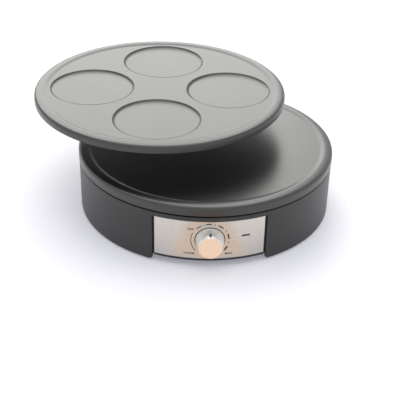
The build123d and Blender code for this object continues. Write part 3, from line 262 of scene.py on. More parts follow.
class Signal:
    """A socket that takes part in plain arithmetic."""

    def __init__(self, recipe, socket):
        self.recipe = recipe
        self.socket = socket

    def _maths(self, operation, *values):
        return self.recipe.add("Math", {"operation": operation}, dict(enumerate(values)))

    def __add__(self, other):
        return self._maths("ADD", self, other)

    def __sub__(self, other):
        return self._maths("SUBTRACT", self, other)

    def __rsub__(self, other):
        return self._maths("SUBTRACT", other, self)

    def __mul__(self, other):
        return self._maths("MULTIPLY", self, other)

    def __gt__(self, other):
        return self._maths("GREATER_THAN", self, other)

    def __pow__(self, other):
        return self._maths("POWER", self, other)

    def larger(self, other):
        return self._maths("MAXIMUM", self, other)

    __radd__ = __add__
    __rmul__ = __mul__


class Recipe:
    """Node tree of one finish."""

    def __init__(self, owner):
        owner.use_nodes = True
        self.owner = owner
        self.tree = owner.node_tree
        self.tree.nodes.clear()

    def add(self, kind, settings=None, sockets=None, output=0):
        """One node: its settings first, then the values or links of its sockets."""
        node = self.tree.nodes.new("ShaderNode" + kind)
        for setting, value in (settings or {}).items():
            if setting == "stops":
                ramp = node.color_ramp.elements
                first, *between, last = value
                for place, tone in between:
                    ramp.new(place).color = (*tone, 1)
                for stop, (place, tone) in zip((ramp[0], ramp[-1]), (first, last)):
                    stop.position, stop.color = place, (*tone, 1)
            else:
                setattr(node, setting, value)
        for name, value in (sockets or {}).items():
            if isinstance(value, Signal):
                self.tree.links.new(value.socket, node.inputs[name])
            else:
                slot = node.inputs[name]
                wide = hasattr(slot.default_value, "__len__") and len(slot.default_value) == 4
                slot.default_value = (*value, 1) if wide and len(value) == 3 else value
        return Signal(self, node.outputs[output]) if len(node.outputs) else None

    def place(self, scale=(1, 1, 1), centre=(0, 0, 0)):
        """Object coordinates, centred and then stretched."""
        start = self.add("TexCoord", output="Object")
        moved = self.add("Mapping", {}, {"Vector": start, "Location": tuple(-part for part in centre)})
        return self.add("Mapping", {}, {"Vector": moved, "Scale": scale})

    def noise(self, scale, where=None, detail=2.0, roughness=0.5):
        sockets = {"Vector": where or self.place(), "Scale": scale}
        return self.add("TexNoise", {}, sockets | {"Detail": detail, "Roughness": roughness})

    def mix(self, factor, first, second):
        return self.add("Mix", {"data_type": "RGBA"}, {0: factor, 6: first, 7: second}, output=2)

    def bump(self, height, depth, under=None):
        sockets = {"Strength": 1.0, "Distance": depth, "Height": height}
        if under is not None:
            sockets["Normal"] = under
        return self.add("Bump", {}, sockets)

    def surface(self, **sockets):
        """Principled surface; an underscore in a name stands for a space."""
        named = {name.replace("_", " "): value for name, value in sockets.items()}
        shader = self.add("BsdfPrincipled", {}, named)
        self.add("OutputMaterial", {}, {"Surface": shader})
        return self.owner


def recipe(name):
    return Recipe(bpy.data.materials.new(name))


def shade(tone, level):
    """The tone, darker below level 1 and lighter above it."""
    return tuple(part * level for part in tone)


def grained(name, tone, roughness, grain, depth, clouds=0.12, metal=0.0, **constants):
    """Finish with a fine grain, soft clouds in its colour and uneven gloss."""
    made = recipe(name)
    cloud = made.noise(45, detail=3)
    fine = made.noise(grain, detail=2, roughness=0.6)
    return made.surface(
        Base_Color=made.mix(cloud, shade(tone, 1 - clouds), shade(tone, 1 + clouds)),
        Roughness=roughness + (fine - 0.5) * 0.10 + (cloud - 0.5) * 0.06,
        Metallic=metal,
        Normal=made.bump(fine, depth),
        **constants,
    )


def cast_coating(plates):
    """Non-stick coating: nearly black, with the finest sparkle and a pebbled skin."""
    made = recipe("cast_nonstick_coating")
    tone = tuple(plates.coating)
    cloud = made.noise(14, detail=3, roughness=0.55)
    pebble = made.noise(950, detail=2, roughness=0.6)
    speck = made.noise(2600, detail=1) > 0.66
    tinted = made.mix(cloud, shade(tone, 0.88), shade(tone, 1.12))
    return made.surface(
        Base_Color=made.mix(speck * 0.3, tinted, (0.03, 0.03, 0.032)),
        Roughness=plates.coating_roughness + (pebble - 0.5) * 0.08 + (cloud - 0.5) * 0.05,
        Metallic=speck * 0.1,
        IOR=1.75,
        Normal=made.bump(pebble, 0.012 * MM, made.bump(made.noise(160, detail=2), 0.02 * MM)),
    )


def moulded_plastic(name, tone, roughness, grain=1100, depth=0.012 * MM):
    """Moulded plastic or rubber with a fine eroded grain."""
    made = recipe(name)
    cloud = made.noise(22, detail=3)
    fine = made.noise(grain, detail=3, roughness=0.65)
    return made.surface(
        Base_Color=made.mix(cloud, shade(tone, 0.9), shade(tone, 1.1)),
        Roughness=roughness + (fine - 0.5) * 0.12,
        IOR=1.5,
        Normal=made.bump(fine, depth),
    )


def brushed_steel(panel):
    """Steel brushed along the panel: a streak keeps its height round the curve."""
    made = recipe("brushed_panel_steel")
    tone = tuple(panel.steel)
    streak = made.noise(1.0, made.place((14, 14, 5200)), detail=3, roughness=0.7)
    broad = made.noise(1.0, made.place((6, 6, 700)), detail=2)
    return made.surface(
        Base_Color=made.mix(streak, shade(tone, 0.90), shade(tone, 1.06)),
        Roughness=0.27 + (streak - 0.5) * 0.12 + (broad - 0.5) * 0.05,
        Metallic=1.0,
        Normal=made.bump(streak, 0.006 * MM),
    )


def turned_metal(name, tone, roughness, centre, depth, rings=1800, metal=1.0):
    """Metal turned on the lathe: fine rings about an axis that points out of the panel."""
    made = recipe(name)
    across = made.add("SeparateXYZ", {}, {"Vector": made.place(centre=centre)})
    upward = Signal(made, across.socket.node.outputs["Z"])
    distance = (across * across + upward * upward) ** 0.5
    sockets = {"W": distance, "Scale": rings, "Detail": 2.0}
    line = made.add("TexNoise", {"noise_dimensions": "1D"}, sockets)
    cloud = made.noise(60, detail=2)
    return made.surface(
        Base_Color=made.mix(line, shade(tone, 0.94), shade(tone, 1.04)),
        Roughness=roughness + (line - 0.5) * 0.10 + (cloud - 0.5) * 0.04,
        Metallic=metal,
        Normal=made.bump(line, depth),
    )


def spangled_sheet():
    """Aluminised sheet: crystals of slightly different tone, and shallow rolling lines."""
    made = recipe("aluminised_sheet_metal")
    crystal = made.add("TexVoronoi", {}, {"Vector": made.place(), "Scale": 160.0}, output="Color")
    tone = made.add("RGBToBW", {}, {"Color": crystal})
    rolled = made.noise(1.0, made.place((2500, 30, 30)), detail=2)
    return made.surface(
        Base_Color=made.mix(tone, (0.52, 0.53, 0.54), (0.68, 0.69, 0.70)),
        Roughness=0.34 + tone * 0.12 + (rolled - 0.5) * 0.08,
        Metallic=1.0,
        Normal=made.bump(rolled, 0.008 * MM),
    )


def heated_steel():
    """Sheath of the heating element: dark, heat-tinted from brown to blue-grey."""
    made = recipe("heated_element_steel")
    tint = made.noise(30, detail=2)
    fine = made.noise(1400, detail=2)
    stops = (
        (0.30, (0.060, 0.055, 0.050)),
        (0.52, (0.110, 0.080, 0.055)),
        (0.75, (0.075, 0.085, 0.100)),
    )
    return made.surface(
        Base_Color=made.add("ValToRGB", {"stops": stops}, {0: tint}),
        Roughness=0.42 + (fine - 0.5) * 0.2,
        Metallic=0.7,
        Normal=made.bump(fine, 0.01 * MM),
    )


def striped_wire(tone, stripe):
    """Insulation of the earth wire, striped in a second colour."""
    made = recipe("earth_wire_insulation")
    sockets = {"Vector": made.place(), "Scale": 90.0, "Distortion": 0.0}
    wave = made.add("TexWave", {"bands_direction": "DIAGONAL"}, sockets)
    return made.surface(Base_Color=made.mix(wave > 0.62, tone, stripe), Roughness=0.42)


def lamp_glass():
    """Neon lamp: clear red glass with a faint orange core."""
    made = recipe("neon_lamp_glass")
    swirl = made.noise(400, detail=1)
    return made.surface(
        Base_Color=made.mix(swirl, (0.50, 0.06, 0.03), (0.62, 0.12, 0.05)),
        Roughness=0.08 + (swirl - 0.5) * 0.05,
        IOR=1.47,
        Transmission_Weight=0.6,
    )


def slot_finishes(settings):
    """One finish for each material slot of the record."""
    housing, panel, knob = settings.housing, settings.panel, settings.knob
    centre = (0, 0, middle("control_knob").z)
    inner = tuple(housing.inner_plastic)
    return {
        "housing_plastic": moulded_plastic("charcoal_moulded_plastic", tuple(housing.plastic), 0.42),
        "inner_plastic": moulded_plastic("black_moulded_plastic", inner, 0.52, 800),
        "panel_steel": brushed_steel(panel),
        "nonstick_cast": cast_coating(settings.plates),
        "knob_silver": turned_metal(
            "satin_silver", tuple(knob.silver), 0.32, centre, 0.002 * MM, metal=0.6
        ),
        # The disc's warm tone is a painted reflection on plain silver.
        "knob_disc": turned_metal("spun_disc_painted_reflection", tuple(knob.disc), 0.26, centre, 0.003 * MM, 2600),
        "pointer_black": grained("black_pointer", tuple(panel.ink), 0.4, 1200, 0.005 * MM),
        "lens_dark": grained("smoked_lens", tuple(panel.lens), 0.14, 900, 0.002 * MM, Coat_Weight=0.5),
        "lamp_glass": lamp_glass(),
        "foot_rubber": moulded_plastic("matt_rubber", tuple(housing.rubber), 0.72, 650, 0.03 * MM),
        "zinc_steel": grained("zinc_plated_steel", (0.62, 0.63, 0.62), 0.32, 900, 0.006 * MM, 0.10, 1.0),
        "aluminised_sheet": spangled_sheet(),
        "element_sheath": heated_steel(),
        "brass_parts": grained("brass", (0.66, 0.50, 0.22), 0.30, 1000, 0.006 * MM, 0.10, 1.0),
        "copper_tube": grained("copper", (0.72, 0.36, 0.22), 0.30, 900, 0.006 * MM, 0.12, 1.0),
        "porcelain": grained("glazed_porcelain", (0.74, 0.71, 0.64), 0.22, 500, 0.010 * MM, 0.05),
        "phenolic": grained("brown_phenolic", (0.075, 0.035, 0.020), 0.40, 1300, 0.015 * MM, 0.2),
        "wire_brown": grained("brown_wire", (0.14, 0.055, 0.025), 0.42, 1500, 0.008 * MM),
        "wire_blue": grained("blue_wire", (0.035, 0.10, 0.32), 0.42, 1500, 0.008 * MM),
        "wire_green": striped_wire((0.05, 0.22, 0.06), (0.60, 0.52, 0.04)),
        "wire_white": grained("white_wire", (0.66, 0.65, 0.62), 0.42, 1500, 0.008 * MM),
    }


finishes = {}


def give_finish(piece, slot):
    """The piece wears the finish of a material slot, and nothing else."""
    if not finishes:
        finishes.update(slot_finishes(bpy.context.scene.crepe_maker))
    piece.data.materials.clear()
    piece.data.materials.append(finishes[slot])


# ================================================================ modelling


def rest():
    """Object mode with nothing selected."""
    if bpy.context.mode != "OBJECT":
        bpy.ops.object.mode_set(mode="OBJECT")
    bpy.ops.object.select_all(action="DESELECT")


def take(piece):
    """The piece alone is selected and active."""
    rest()
    piece.select_set(True)
    bpy.context.view_layer.objects.active = piece


def edit(piece, mode="EDGE"):
    """Edit mode on the piece, nothing selected."""
    take(piece)
    bpy.ops.object.mode_set(mode="EDIT")
    bpy.ops.mesh.select_mode(type=mode)
    bpy.ops.mesh.select_all(action="DESELECT")


def pick_edges(piece, wanted):
    """In edit mode, select the edges that wanted(edge) accepts."""
    mesh = bmesh.from_edit_mesh(piece.data)
    found = 0
    for edge in mesh.edges:
        if wanted(edge):
            edge.select_set(True)
            found += 1
    bmesh.update_edit_mesh(piece.data)
    if not found:
        raise RuntimeError(f"{piece.name} has no such edge to round")


def ring_at(radius, level, centre, way=UP, slack=0.02 * MM):
    """Test for the edges of one ring of a turned piece."""

    def on_ring(edge):
        for corner in edge.verts:
            reach = corner.co - centre
            height = reach.dot(way)
            if abs(height - level) > slack or abs((reach - way * height).length - radius) > slack:
                return False
        return True

    return on_ring


def turn(name, outline, sides, centre, way=UP):
    """A closed piece of rings: a circle extruded, moved and scaled along radius and level pairs."""
    rest()
    tilt = (0, 0, 0) if way is UP else (pi / 2, 0, 0)
    radius, level = outline[0]
    bpy.ops.mesh.primitive_circle_add(
        vertices=sides, radius=radius, location=centre + way * level, rotation=tilt
    )
    piece = bpy.context.object
    piece.name = name
    bpy.ops.object.mode_set(mode="EDIT")
    bpy.ops.mesh.select_mode(type="EDGE")
    bpy.ops.mesh.select_all(action="SELECT")
    for next_radius, next_level in outline[1:]:
        step = way * (next_level - level)
        bpy.ops.mesh.extrude_region_move(TRANSFORM_OT_translate={"value": step})
        across = tuple(1 if part else next_radius / radius for part in way)
        bpy.ops.transform.resize(value=across, center_override=centre + way * next_level)
        radius, level = next_radius, next_level
    bpy.ops.mesh.select_all(action="SELECT")
    bpy.ops.mesh.fill_holes(sides=0)
    bpy.ops.mesh.select_all(action="SELECT")
    bpy.ops.mesh.normals_make_consistent(inside=False)
    settle(piece)
    return piece


def settle(piece):
    """The piece's object goes to the origin, unturned and unscaled."""
    take(piece)
    bpy.ops.object.transform_apply(location=True, rotation=True, scale=True)


def bevel(piece, wanted, width, segments=3):
    """Round the wanted edges."""
    edit(piece)
    pick_edges(piece, wanted)
    bpy.ops.mesh.bevel(offset_type="OFFSET", offset=width, segments=segments, clamp_overlap=True)
    bpy.ops.object.mode_set(mode="OBJECT")


def apply_modifier(piece, kind, **settings):
    """Add a modifier and apply it."""
    take(piece)
    bpy.ops.object.modifier_add(type=kind)
    modifier = piece.modifiers[-1]
    for setting, value in settings.items():
        setattr(modifier, setting, value)
    bpy.ops.object.modifier_apply(modifier=modifier.name)


def cut(piece, cutter):
    """Cut one piece out of another."""
    apply_modifier(piece, "BOOLEAN", operation="DIFFERENCE", solver="EXACT", object=cutter)
    bpy.data.objects.remove(cutter)


def copy_of(source, name):
    """A copy with its own mesh, tied to nothing."""
    made = bpy.data.objects.new(name, source.data.copy())
    bpy.context.scene.collection.objects.link(made)
    return made


def merged_copy(node, name):
    """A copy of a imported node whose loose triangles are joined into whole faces."""
    piece = copy_of(frame["nodes"][node], name)
    edit(piece)
    bpy.ops.mesh.select_all(action="SELECT")
    bpy.ops.mesh.remove_doubles(threshold=0.002 * MM)
    bpy.ops.mesh.customdata_custom_splitnormals_clear()
    bpy.ops.mesh.dissolve_limited(angle_limit=radians(0.3))
    bpy.ops.object.mode_set(mode="OBJECT")
    return piece


def sharp(where=None):
    """Test for sharp outer edges, all of them or those whose middle is at a place."""

    def is_sharp(edge):
        if len(edge.link_faces) != 2 or not edge.is_convex:
            return False
        if edge.calc_face_angle(0) < SHARP:
            return False
        return where is None or where((edge.verts[0].co + edge.verts[1].co) / 2)

    return is_sharp


def hand_over(piece, body, slot, *nodes, smooth=30):
    """Shade the piece, give it its finish, tie it to its body and hide the nodes it takes the place of.

    Faces that meet at less than smooth degrees are shaded as one.
    """
    settle(piece)
    bpy.ops.object.shade_smooth_by_angle(angle=radians(smooth), keep_sharp_edges=False)
    apply_modifier(piece, "WEIGHTED_NORMAL", keep_sharp=True, weight=80)
    give_finish(piece, slot)
    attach(piece, body)
    if nodes:
        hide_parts(*nodes)


# ================================================================ pieces


def plate_outline(sizes, bottom, crest, underside, pads):
    """Radius and level pairs of a cast plate, from its cooking surface round to its heated face."""
    outer = sizes.radius
    top = outer - sizes.crest
    foot = outer - sizes.foot
    shoulder = outer - sizes.shoulder
    surface = crest - sizes.drop
    groove = surface - sizes.groove
    tilt = asin((shoulder - top) / sizes.crest_round)
    shoulder_round = sizes.shoulder / (1 - sin(tilt))
    shoulder_level = crest - sizes.crest_round * (1 - cos(tilt))
    outline = [(foot - sizes.groove_run, surface)]
    for part in steps(8):
        risen = (part + sin(pi / 2 * part)) / 2
        outline.append((foot + (top - foot) * part, groove + (crest - groove) * risen))
    for part in steps(5)[1:]:
        turned = tilt * part
        outline.append(
            (top + sizes.crest_round * sin(turned), crest - sizes.crest_round * (1 - cos(turned)))
        )
    for part in steps(8)[1:]:
        turned = tilt + (pi / 2 - tilt) * part
        outline.append(
            (
                outer - shoulder_round * (1 - sin(turned)),
                shoulder_level - shoulder_round * (cos(tilt) - cos(turned)),
            )
        )
    skirt_inner = outer - sizes.skirt_wall
    rib_outer = outer - sizes.rib_inset
    rib_inner = rib_outer - sizes.rib_width
    outline += [
        (outer, bottom + sizes.skirt_rise),
        (skirt_inner, bottom + sizes.skirt_rise),
        (skirt_inner, underside),
        (rib_outer, underside),
        (rib_outer, bottom),
        (rib_inner, bottom),
        (rib_inner, underside),
    ]
    if pads:
        half = sizes.heater_pad / 2
        heated = bottom + sizes.hollow
        outline += [
            (sizes.heater_ring + half, underside),
            (sizes.heater_ring + half, heated),
            (sizes.heater_ring - half, heated),
            (sizes.heater_ring - half, underside),
            (sizes.sensor_pad, underside),
            (sizes.sensor_pad, heated),
        ]
    return outline


def cast_plate(name, node, sizes, pads):
    """Turn one plate and round its lower edges. Gives the plate, its centre and its surface's level."""
    bottom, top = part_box(node)
    centre = Vector(((bottom.x + top.x) / 2, (bottom.y + top.y) / 2, 0))
    if pads:
        underside = top.z - sizes.drop - sizes.thickness
    else:
        underside = bottom.z + sizes.hollow
    outline = plate_outline(sizes, bottom.z, top.z, underside, pads)
    plate = turn(name, outline, sizes.sides, centre)
    skirt = bottom.z + sizes.skirt_rise
    bevel(plate, ring_at(sizes.radius, skirt, centre), sizes.lower_edge, 3)
    bevel(plate, ring_at(sizes.radius - sizes.skirt_wall, skirt, centre), sizes.lower_edge, 2)
    return plate, centre, top.z - sizes.drop


class CREPEMAKER_OT_crepe_plate(bpy.types.Operator):
    """Large cast plate on the base"""

    bl_idname = "crepe_maker.crepe_plate"
    bl_label = "Crepe plate"
    bl_options = {"REGISTER", "UNDO"}

    def execute(self, context):
        sizes = context.scene.crepe_maker.plates
        plate, _, _ = cast_plate("crepe_plate_coated", "crepe_plate", sizes, pads=True)
        hand_over(plate, "crepe_plate_body", "nonstick_cast", "crepe_plate")
        return {"FINISHED"}


class CREPEMAKER_OT_pancake_plate(bpy.types.Operator):
    """Second cast plate with shallow moulds"""

    bl_idname = "crepe_maker.pancake_plate"
    bl_label = "Pancake plate"
    bl_options = {"REGISTER", "UNDO"}

    def execute(self, context):
        sizes = context.scene.crepe_maker.plates
        plate, centre, surface = cast_plate("pancake_plate_coated", "pancake_plate", sizes, pads=False)
        floor = surface - sizes.mould_depth
        outline = []
        for part in steps(8):
            reach = sizes.mould - sizes.mould_run * (1 - part)
            outline.append((reach, floor + sizes.mould_depth * part * part))
        outline.append((sizes.mould + sizes.mould_run / 2, surface + sizes.mould_depth))
        places = []
        for number in range(sizes.moulds):
            turned = sizes.mould_turn + number * 2 * pi / sizes.moulds
            places.append(centre + Vector((cos(turned), sin(turned), 0)) * sizes.mould_pitch)
        for place in places:
            cut(plate, turn("mould_cutter", outline, sizes.mould_sides, place))
        for place in places:
            bevel(plate, ring_at(sizes.mould, surface, place, slack=0.05 * MM), sizes.mould_edge, 2)
        hand_over(plate, "pancake_plate_body", "nonstick_cast", "pancake_plate")
        return {"FINISHED"}


class CREPEMAKER_OT_housing(bpy.types.Operator):
    """Moulded shell of the base and the carrier of its panel"""

    bl_idname = "crepe_maker.housing"
    bl_label = "Housing"
    bl_options = {"REGISTER", "UNDO"}

    def execute(self, context):
        sizes = context.scene.crepe_maker.housing
        shell = merged_copy("base_housing", "housing_shell")
        outer_face = high("base_housing").x - 0.5 * MM

        def at_opening(place):
            if place.z < sizes.lowest_edge or hypot(place.x, place.y) < outer_face:
                return False
            return abs(atan2(place.x, -place.y)) < sizes.opening

        bevel(shell, sharp(at_opening), sizes.edge, 3)
        hand_over(shell, "base", "housing_plastic", "base_housing", smooth=35)

        carrier = merged_copy("panel_carrier", "panel_carrier_moulded")
        lip = -low("panel_carrier").y - 2.5 * MM

        def at_front(place):
            return hypot(place.x, place.y) > lip

        bevel(carrier, sharp(at_front), sizes.small_edge, 2)
        hand_over(carrier, "base", "inner_plastic", "panel_carrier", smooth=35)
        return {"FINISHED"}


class CREPEMAKER_OT_control_panel(bpy.types.Operator):
    """Brushed steel sheet of the control panel"""

    bl_idname = "crepe_maker.control_panel"
    bl_label = "Control panel"
    bl_options = {"REGISTER", "UNDO"}

    def execute(self, context):
        sizes = context.scene.crepe_maker.panel
        sheet = merged_copy("control_panel", "control_panel_sheet")
        face = -low("control_panel").y - 0.2 * MM

        def on_front(place):
            return hypot(place.x, place.y) > face

        bevel(sheet, sharp(on_front), sizes.edge, 2)
        hand_over(sheet, "base", "panel_steel", "control_panel", smooth=35)
        return {"FINISHED"}


# On the dial: turns in degrees to the right from its top, words in millimetres across and up.
MARK_TURNS = (-37, -4, 35, 78, 122)
SWEEP_TURNS = (-132, -64)
DIGIT_TURNS = (-21, 15, 56, 100)
WORDS = (("OFF", -23.4, 14.8), ("WARM", -24.6, -19.4), ("MAX", 22.8, -19.6))


def arc_strip(centre, middle_radius, width, start, end):
    """Flat strip of a ring round the knob, between two turns to the right from the top."""
    inner = middle_radius - width / 2
    outer = middle_radius + width / 2
    rest()
    bpy.ops.mesh.primitive_circle_add(
        vertices=360, radius=inner, location=centre, rotation=(pi / 2, 0, 0)
    )
    strip = bpy.context.object
    settle(strip)
    edit(strip, "VERT")
    mesh = bmesh.from_edit_mesh(strip.data)
    slack = radians(0.05)
    for corner in mesh.verts:
        turned = atan2(corner.co.x - centre.x, corner.co.z - centre.z)
        corner.select_set(not start - slack <= turned <= end + slack)
    bmesh.update_edit_mesh(strip.data)
    bpy.ops.mesh.delete(type="VERT")
    bpy.ops.mesh.select_mode(type="EDGE")
    bpy.ops.mesh.select_all(action="SELECT")
    bpy.ops.mesh.extrude_region_move(TRANSFORM_OT_translate={"value": (0, 0, 0)})
    grow = outer / inner
    bpy.ops.transform.resize(value=(grow, 1, grow), center_override=centre)
    bpy.ops.object.mode_set(mode="OBJECT")
    return strip


def lettering(body, place, height):
    """Flat letters, a little bold, that face out of the panel."""
    rest()
    bpy.ops.object.text_add(location=place, rotation=(pi / 2, 0, 0))
    text = bpy.context.object
    text.data.body = body
    text.data.size = height
    text.data.align_x = "CENTER"
    text.data.align_y = "CENTER"
    text.data.offset = height * 0.02
    text.data.resolution_u = 3
    bpy.ops.object.convert(target="MESH")
    settle(text)
    return bpy.context.object


def printed(name, flats, sizes):
    """Join flat shapes, lay them on the steel and give the ink its thickness."""
    rest()
    for flat in flats:
        flat.select_set(True)
    bpy.context.view_layer.objects.active = flats[0]
    bpy.ops.object.join()
    made = bpy.context.object
    made.name = name
    edit(made, "FACE")
    mesh = bmesh.from_edit_mesh(made.data)
    for face in mesh.faces:
        face.select_set(face.normal.y > 0)
    bmesh.update_edit_mesh(made.data)
    bpy.ops.mesh.flip_normals()
    bpy.ops.object.mode_set(mode="OBJECT")
    apply_modifier(
        made,
        "SHRINKWRAP",
        target=frame["nodes"]["control_panel"],
        wrap_method="PROJECT",
        use_project_y=True,
        use_negative_direction=False,
        use_positive_direction=True,
    )
    apply_modifier(made, "SOLIDIFY", thickness=sizes.ink_thickness, offset=1)
    hand_over(made, "base", "pointer_black")


class CREPEMAKER_OT_dial_print(bpy.types.Operator):
    """Marks, digits and words round the knob"""

    bl_idname = "crepe_maker.dial_print"
    bl_label = "Dial print"
    bl_options = {"REGISTER", "UNDO"}

    def execute(self, context):
        sizes = context.scene.crepe_maker.panel
        centre = Vector((0, low("control_panel").y - 2 * MM, middle("control_knob").z))
        marks = []
        for number, turned in enumerate(MARK_TURNS):
            width = sizes.mark_width + number * sizes.mark_growth
            start = radians(turned) - sizes.mark_length / 2
            marks.append(arc_strip(centre, sizes.mark_ring, width, start, start + sizes.mark_length))
        start, end = SWEEP_TURNS
        sweep = arc_strip(centre, sizes.mark_ring, sizes.sweep_width, radians(start), radians(end))
        printed("dial_marks", [*marks, sweep], sizes)

        words = []
        for digit, turned in enumerate(DIGIT_TURNS, 1):
            place = centre + Vector((sin(radians(turned)), 0, cos(radians(turned)))) * sizes.mark_ring
            words.append(lettering(str(digit), place, sizes.digit))
        for word, across, up in WORDS:
            words.append(lettering(word, centre + Vector((across, 0, up)) * MM, sizes.word))
        printed("dial_words", words, sizes)
        return {"FINISHED"}


class CREPEMAKER_OT_knob(bpy.types.Operator):
    """Turned knob, the disc in its face and the pointer"""

    bl_idname = "crepe_maker.knob"
    bl_label = "Control knob"
    bl_options = {"REGISTER", "UNDO"}

    def execute(self, context):
        sizes = context.scene.crepe_maker.knob
        centre = Vector((0, 0, middle("control_knob").z))
        back = -high("control_knob").y
        front = -low("control_knob").y
        base = high("control_knob").x
        disc_back = -high("knob_face").y
        disc = high("knob_face").x
        shaft = high("thermostat_shaft").x
        shaft_end = -low("thermostat_shaft").y
        inside = front - sizes.front_wall
        outline = (
            (disc + sizes.slip, disc_back),
            (disc + sizes.slip, front),
            (sizes.face, front),
            (sizes.shoulder, front - sizes.bevel),
            (base, back + sizes.rim),
            (base, back),
            (base - sizes.wall, back),
            (sizes.shoulder - sizes.wall, inside),
            (sizes.hub, inside),
            (sizes.hub, back),
            (shaft + sizes.slip, back),
            (shaft + sizes.slip, shaft_end + sizes.slip),
        )
        knob = turn("control_knob_turned", outline, sizes.sides, centre, OUT)
        for radius, level, width in (
            (sizes.face, front, sizes.edge),
            (sizes.shoulder, front - sizes.bevel, sizes.edge),
            (base, back + sizes.rim, 2 * sizes.edge),
            (base, back, sizes.edge),
        ):
            bevel(knob, ring_at(radius, level, centre, OUT), width, 3)

        groove_middle = sizes.groove_front + sizes.groove_length / 2
        rest()
        bpy.ops.mesh.primitive_cube_add(
            size=1,
            location=centre + OUT * (front - groove_middle) + UP * (sizes.face + base / 2),
            scale=(sizes.groove_width, sizes.groove_length, base),
        )
        cutter = bpy.context.object
        settle(cutter)
        cut(knob, cutter)
        hand_over(knob, "knob", "knob_silver", "control_knob", smooth=25)

        face = turn(
            "knob_face_disc",
            (
                (disc - sizes.disc_edge, front - sizes.disc_step),
                (disc, front - sizes.disc_edge),
                (disc, disc_back),
            ),
            sizes.sides,
            centre,
            OUT,
        )
        hand_over(face, "knob", "knob_disc", "knob_face", smooth=25)

        pointer = merged_copy("knob_pointer", "knob_pointer_bar")
        bevel(pointer, sharp(), sizes.pointer_edge, 2)
        hand_over(pointer, "knob", "pointer_black", "knob_pointer", smooth=25)
        return {"FINISHED"}


class CREPEMAKER_OT_sensor_spring(bpy.types.Operator):
    """Spring under the sensor cap; the real spring shortens as the cap is pressed, but this piece keeps
    its length
    """

    bl_idname = "crepe_maker.sensor_spring"
    bl_label = "Sensor spring"
    bl_options = {"REGISTER", "UNDO"}

    def execute(self, context):
        bottom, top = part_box("sensor_spring")
        press = next(joint for joint in frame["joints"] if joint["name"] == "sensor_press")
        spring = merged_copy("sensor_spring", "sensor_spring_wound")
        hand_over(spring, "base", "zinc_steel", "sensor_spring", smooth=60)
        left = 1 - press["range_m"][1] / (top.z - bottom.z)
        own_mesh(spring)
        return {"FINISHED"}


class CREPEMAKER_OT_finishes(bpy.types.Operator):
    """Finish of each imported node, by its material slot"""

    bl_idname = "crepe_maker.finishes"
    bl_label = "Finishes"
    bl_options = {"REGISTER", "UNDO"}

    def execute(self, context):
        for node in frame["nodes"].values():
            packed = node.data.materials[0].name
            give_finish(node, packed.split(".")[0])
        return {"FINISHED"}


# ================================================================ stage


def seen_plainly(made):
    """1 on what the camera, a reflection or clear glass sees, 0 on what lights the object."""
    camera = made.add("LightPath", output="Is Camera Ray")
    ways = camera.socket.node.outputs
    glossy, through = Signal(made, ways["Is Glossy Ray"]), Signal(made, ways["Is Transmission Ray"])
    return camera.larger(glossy).larger(through)


def add_camera(stage):
    """Camera by its three axes and its place."""
    right = Vector((0.99898, -0.03866, 0.02327))
    up = Vector((0.00079, 0.53057, 0.84764))
    forward = Vector((0.04512, 0.84676, -0.53006))
    place = Vector((-0.05188, -1.07367, 0.65352))
    rest()
    bpy.ops.object.camera_add()
    camera = bpy.context.object
    camera.name = "main_camera"
    columns = Matrix((right, up, -forward)).transposed().to_4x4()
    camera.matrix_world = Matrix.Translation(place) @ columns
    camera.data.lens = stage.focal_length
    camera.data.sensor_width = 36
    camera.data.clip_end = 60
    bpy.context.scene.camera = camera


def add_floor(stage):
    """Pale floor that turns white where it is far away."""
    rest()
    bpy.ops.mesh.primitive_plane_add(size=stage.floor_size)
    floor = bpy.context.object
    floor.name = "floor"
    made = recipe("pale_floor")
    tone = made.mix(made.noise(3, detail=1), shade(stage.floor, 0.99), shade(stage.floor, 1.01))
    matt = made.add("BsdfDiffuse", {}, {"Color": tone})
    away = made.add("VectorMath", {"operation": "LENGTH"}, {0: made.place()}, output="Value")
    ends = {"Value": away, "From Min": stage.fade_start, "From Max": stage.fade_end}
    glow = made.mix(made.add("MapRange", {}, ends), tuple(stage.lift), tuple(stage.far_lift))
    plain = made.add("Emission", {}, {"Color": glow, "Strength": seen_plainly(made)})
    both = made.add("AddShader", {}, {0: matt, 1: plain})
    made.add("OutputMaterial", {}, {"Surface": both})
    floor.data.materials.append(made.owner)


def add_card(stage):
    """Warm card on the floor that shows only in reflections."""
    rest()
    bpy.ops.mesh.primitive_plane_add(size=1, location=(0, -stage.card_front, 0.2 * MM))
    card = bpy.context.object
    card.name = "warm_card"
    card.scale = (stage.card_width, stage.card_depth, 1)
    settle(card)
    made = recipe("warm_card")
    clear = made.add("BsdfTransparent")
    warm = made.add("Emission", {}, {"Color": tuple(stage.card), "Strength": 1.0})
    seen = made.add("LightPath", output="Is Glossy Ray")
    both = made.add("MixShader", {}, {0: seen, 1: clear, 2: warm})
    made.add("OutputMaterial", {}, {"Surface": both})
    card.data.materials.append(made.owner)


def add_backdrop(stage):
    """White backdrop, and a plainer light from all round."""
    world = bpy.data.worlds.new("soft_white")
    bpy.context.scene.world = world
    made = Recipe(world)
    white = made.add("Background", {}, {"Color": (1, 1, 1), "Strength": 1.0})
    around = made.add("Background", {}, {"Color": tuple(stage.ambient), "Strength": 1.0})
    both = made.add("MixShader", {}, {0: seen_plainly(made), 1: around, 2: white})
    made.add("OutputWorld", {}, {"Surface": both})


def add_lamp(name, place, facing, width, depth, watts):
    """Rectangular lamp, out of the camera's sight, whose back faces along a direction."""
    rest()
    bpy.ops.object.light_add(type="AREA", location=place)
    lamp = bpy.context.object
    lamp.name = name
    lamp.rotation_euler = facing.to_track_quat("Z", "Y").to_euler()
    lamp.data.shape = "RECTANGLE"
    lamp.data.size = width
    lamp.data.size_y = depth
    lamp.data.energy = watts
    lamp.visible_camera = False
    return lamp


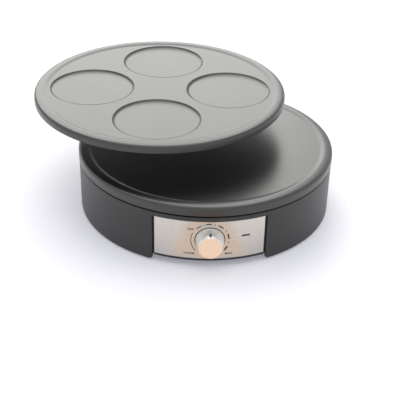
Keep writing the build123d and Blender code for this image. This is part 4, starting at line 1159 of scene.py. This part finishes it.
def add_lamps(stage):
    """Large lamp behind, which the plates mirror, and a weak one overhead."""
    target = Vector((0, 0, 0.1))
    turned, risen = stage.key_azimuth, stage.key_elevation
    back = Vector((sin(turned) * cos(risen), cos(turned) * cos(risen), sin(risen)))
    place = target + back * stage.key_distance
    key = add_lamp("large_soft_lamp", place, back, stage.key_width, stage.key_height, stage.key_power)
    key.data.color = stage.key
    overhead = UP * stage.top_height
    add_lamp("overhead_lamp", overhead, UP, stage.top_width, stage.top_width, stage.top_power)


class CREPEMAKER_OT_stage(bpy.types.Operator):
    """Camera, pale floor, soft lamps and backdrop"""

    bl_idname = "crepe_maker.stage"
    bl_label = "Stage"
    bl_options = {"REGISTER", "UNDO"}

    def execute(self, context):
        stage = context.scene.crepe_maker.stage
        context.scene.view_settings.view_transform = "Standard"
        add_camera(stage)
        add_floor(stage)
        add_card(stage)
        add_backdrop(stage)
        add_lamps(stage)
        return {"FINISHED"}


# ================================================================ panel and registration


class CREPEMAKER_PT_sidebar(bpy.types.Panel):
    """Steps in the sidebar of the 3D view"""

    bl_label = "Crepe maker"
    bl_idname = "CREPEMAKER_PT_sidebar"
    bl_space_type = "VIEW_3D"
    bl_region_type = "UI"
    bl_category = "Crepe maker"

    def draw(self, context):
        for step in STEPS:
            self.layout.operator(step.bl_idname)


STEPS = (
    CREPEMAKER_OT_stage,
    CREPEMAKER_OT_finishes,
    CREPEMAKER_OT_crepe_plate,
    CREPEMAKER_OT_pancake_plate,
    CREPEMAKER_OT_housing,
    CREPEMAKER_OT_control_panel,
    CREPEMAKER_OT_dial_print,
    CREPEMAKER_OT_knob,
    CREPEMAKER_OT_sensor_spring,
)
CLASSES = (
    CrepeMakerPlates,
    CrepeMakerHousing,
    CrepeMakerPanel,
    CrepeMakerKnob,
    CrepeMakerStage,
    CrepeMakerSettings,
    *STEPS,
    CREPEMAKER_PT_sidebar,
)


def register():
    for made in CLASSES:
        bpy.utils.register_class(made)
    bpy.types.Scene.crepe_maker = PointerProperty(type=CrepeMakerSettings)


def unregister():
    del bpy.types.Scene.crepe_maker
    for made in reversed(CLASSES):
        bpy.utils.unregister_class(made)


def main():
    register()
    for step in STEPS:
        getattr(bpy.ops.crepe_maker, step.bl_idname.split(".")[1])()


if __name__ == "__main__":
    main()
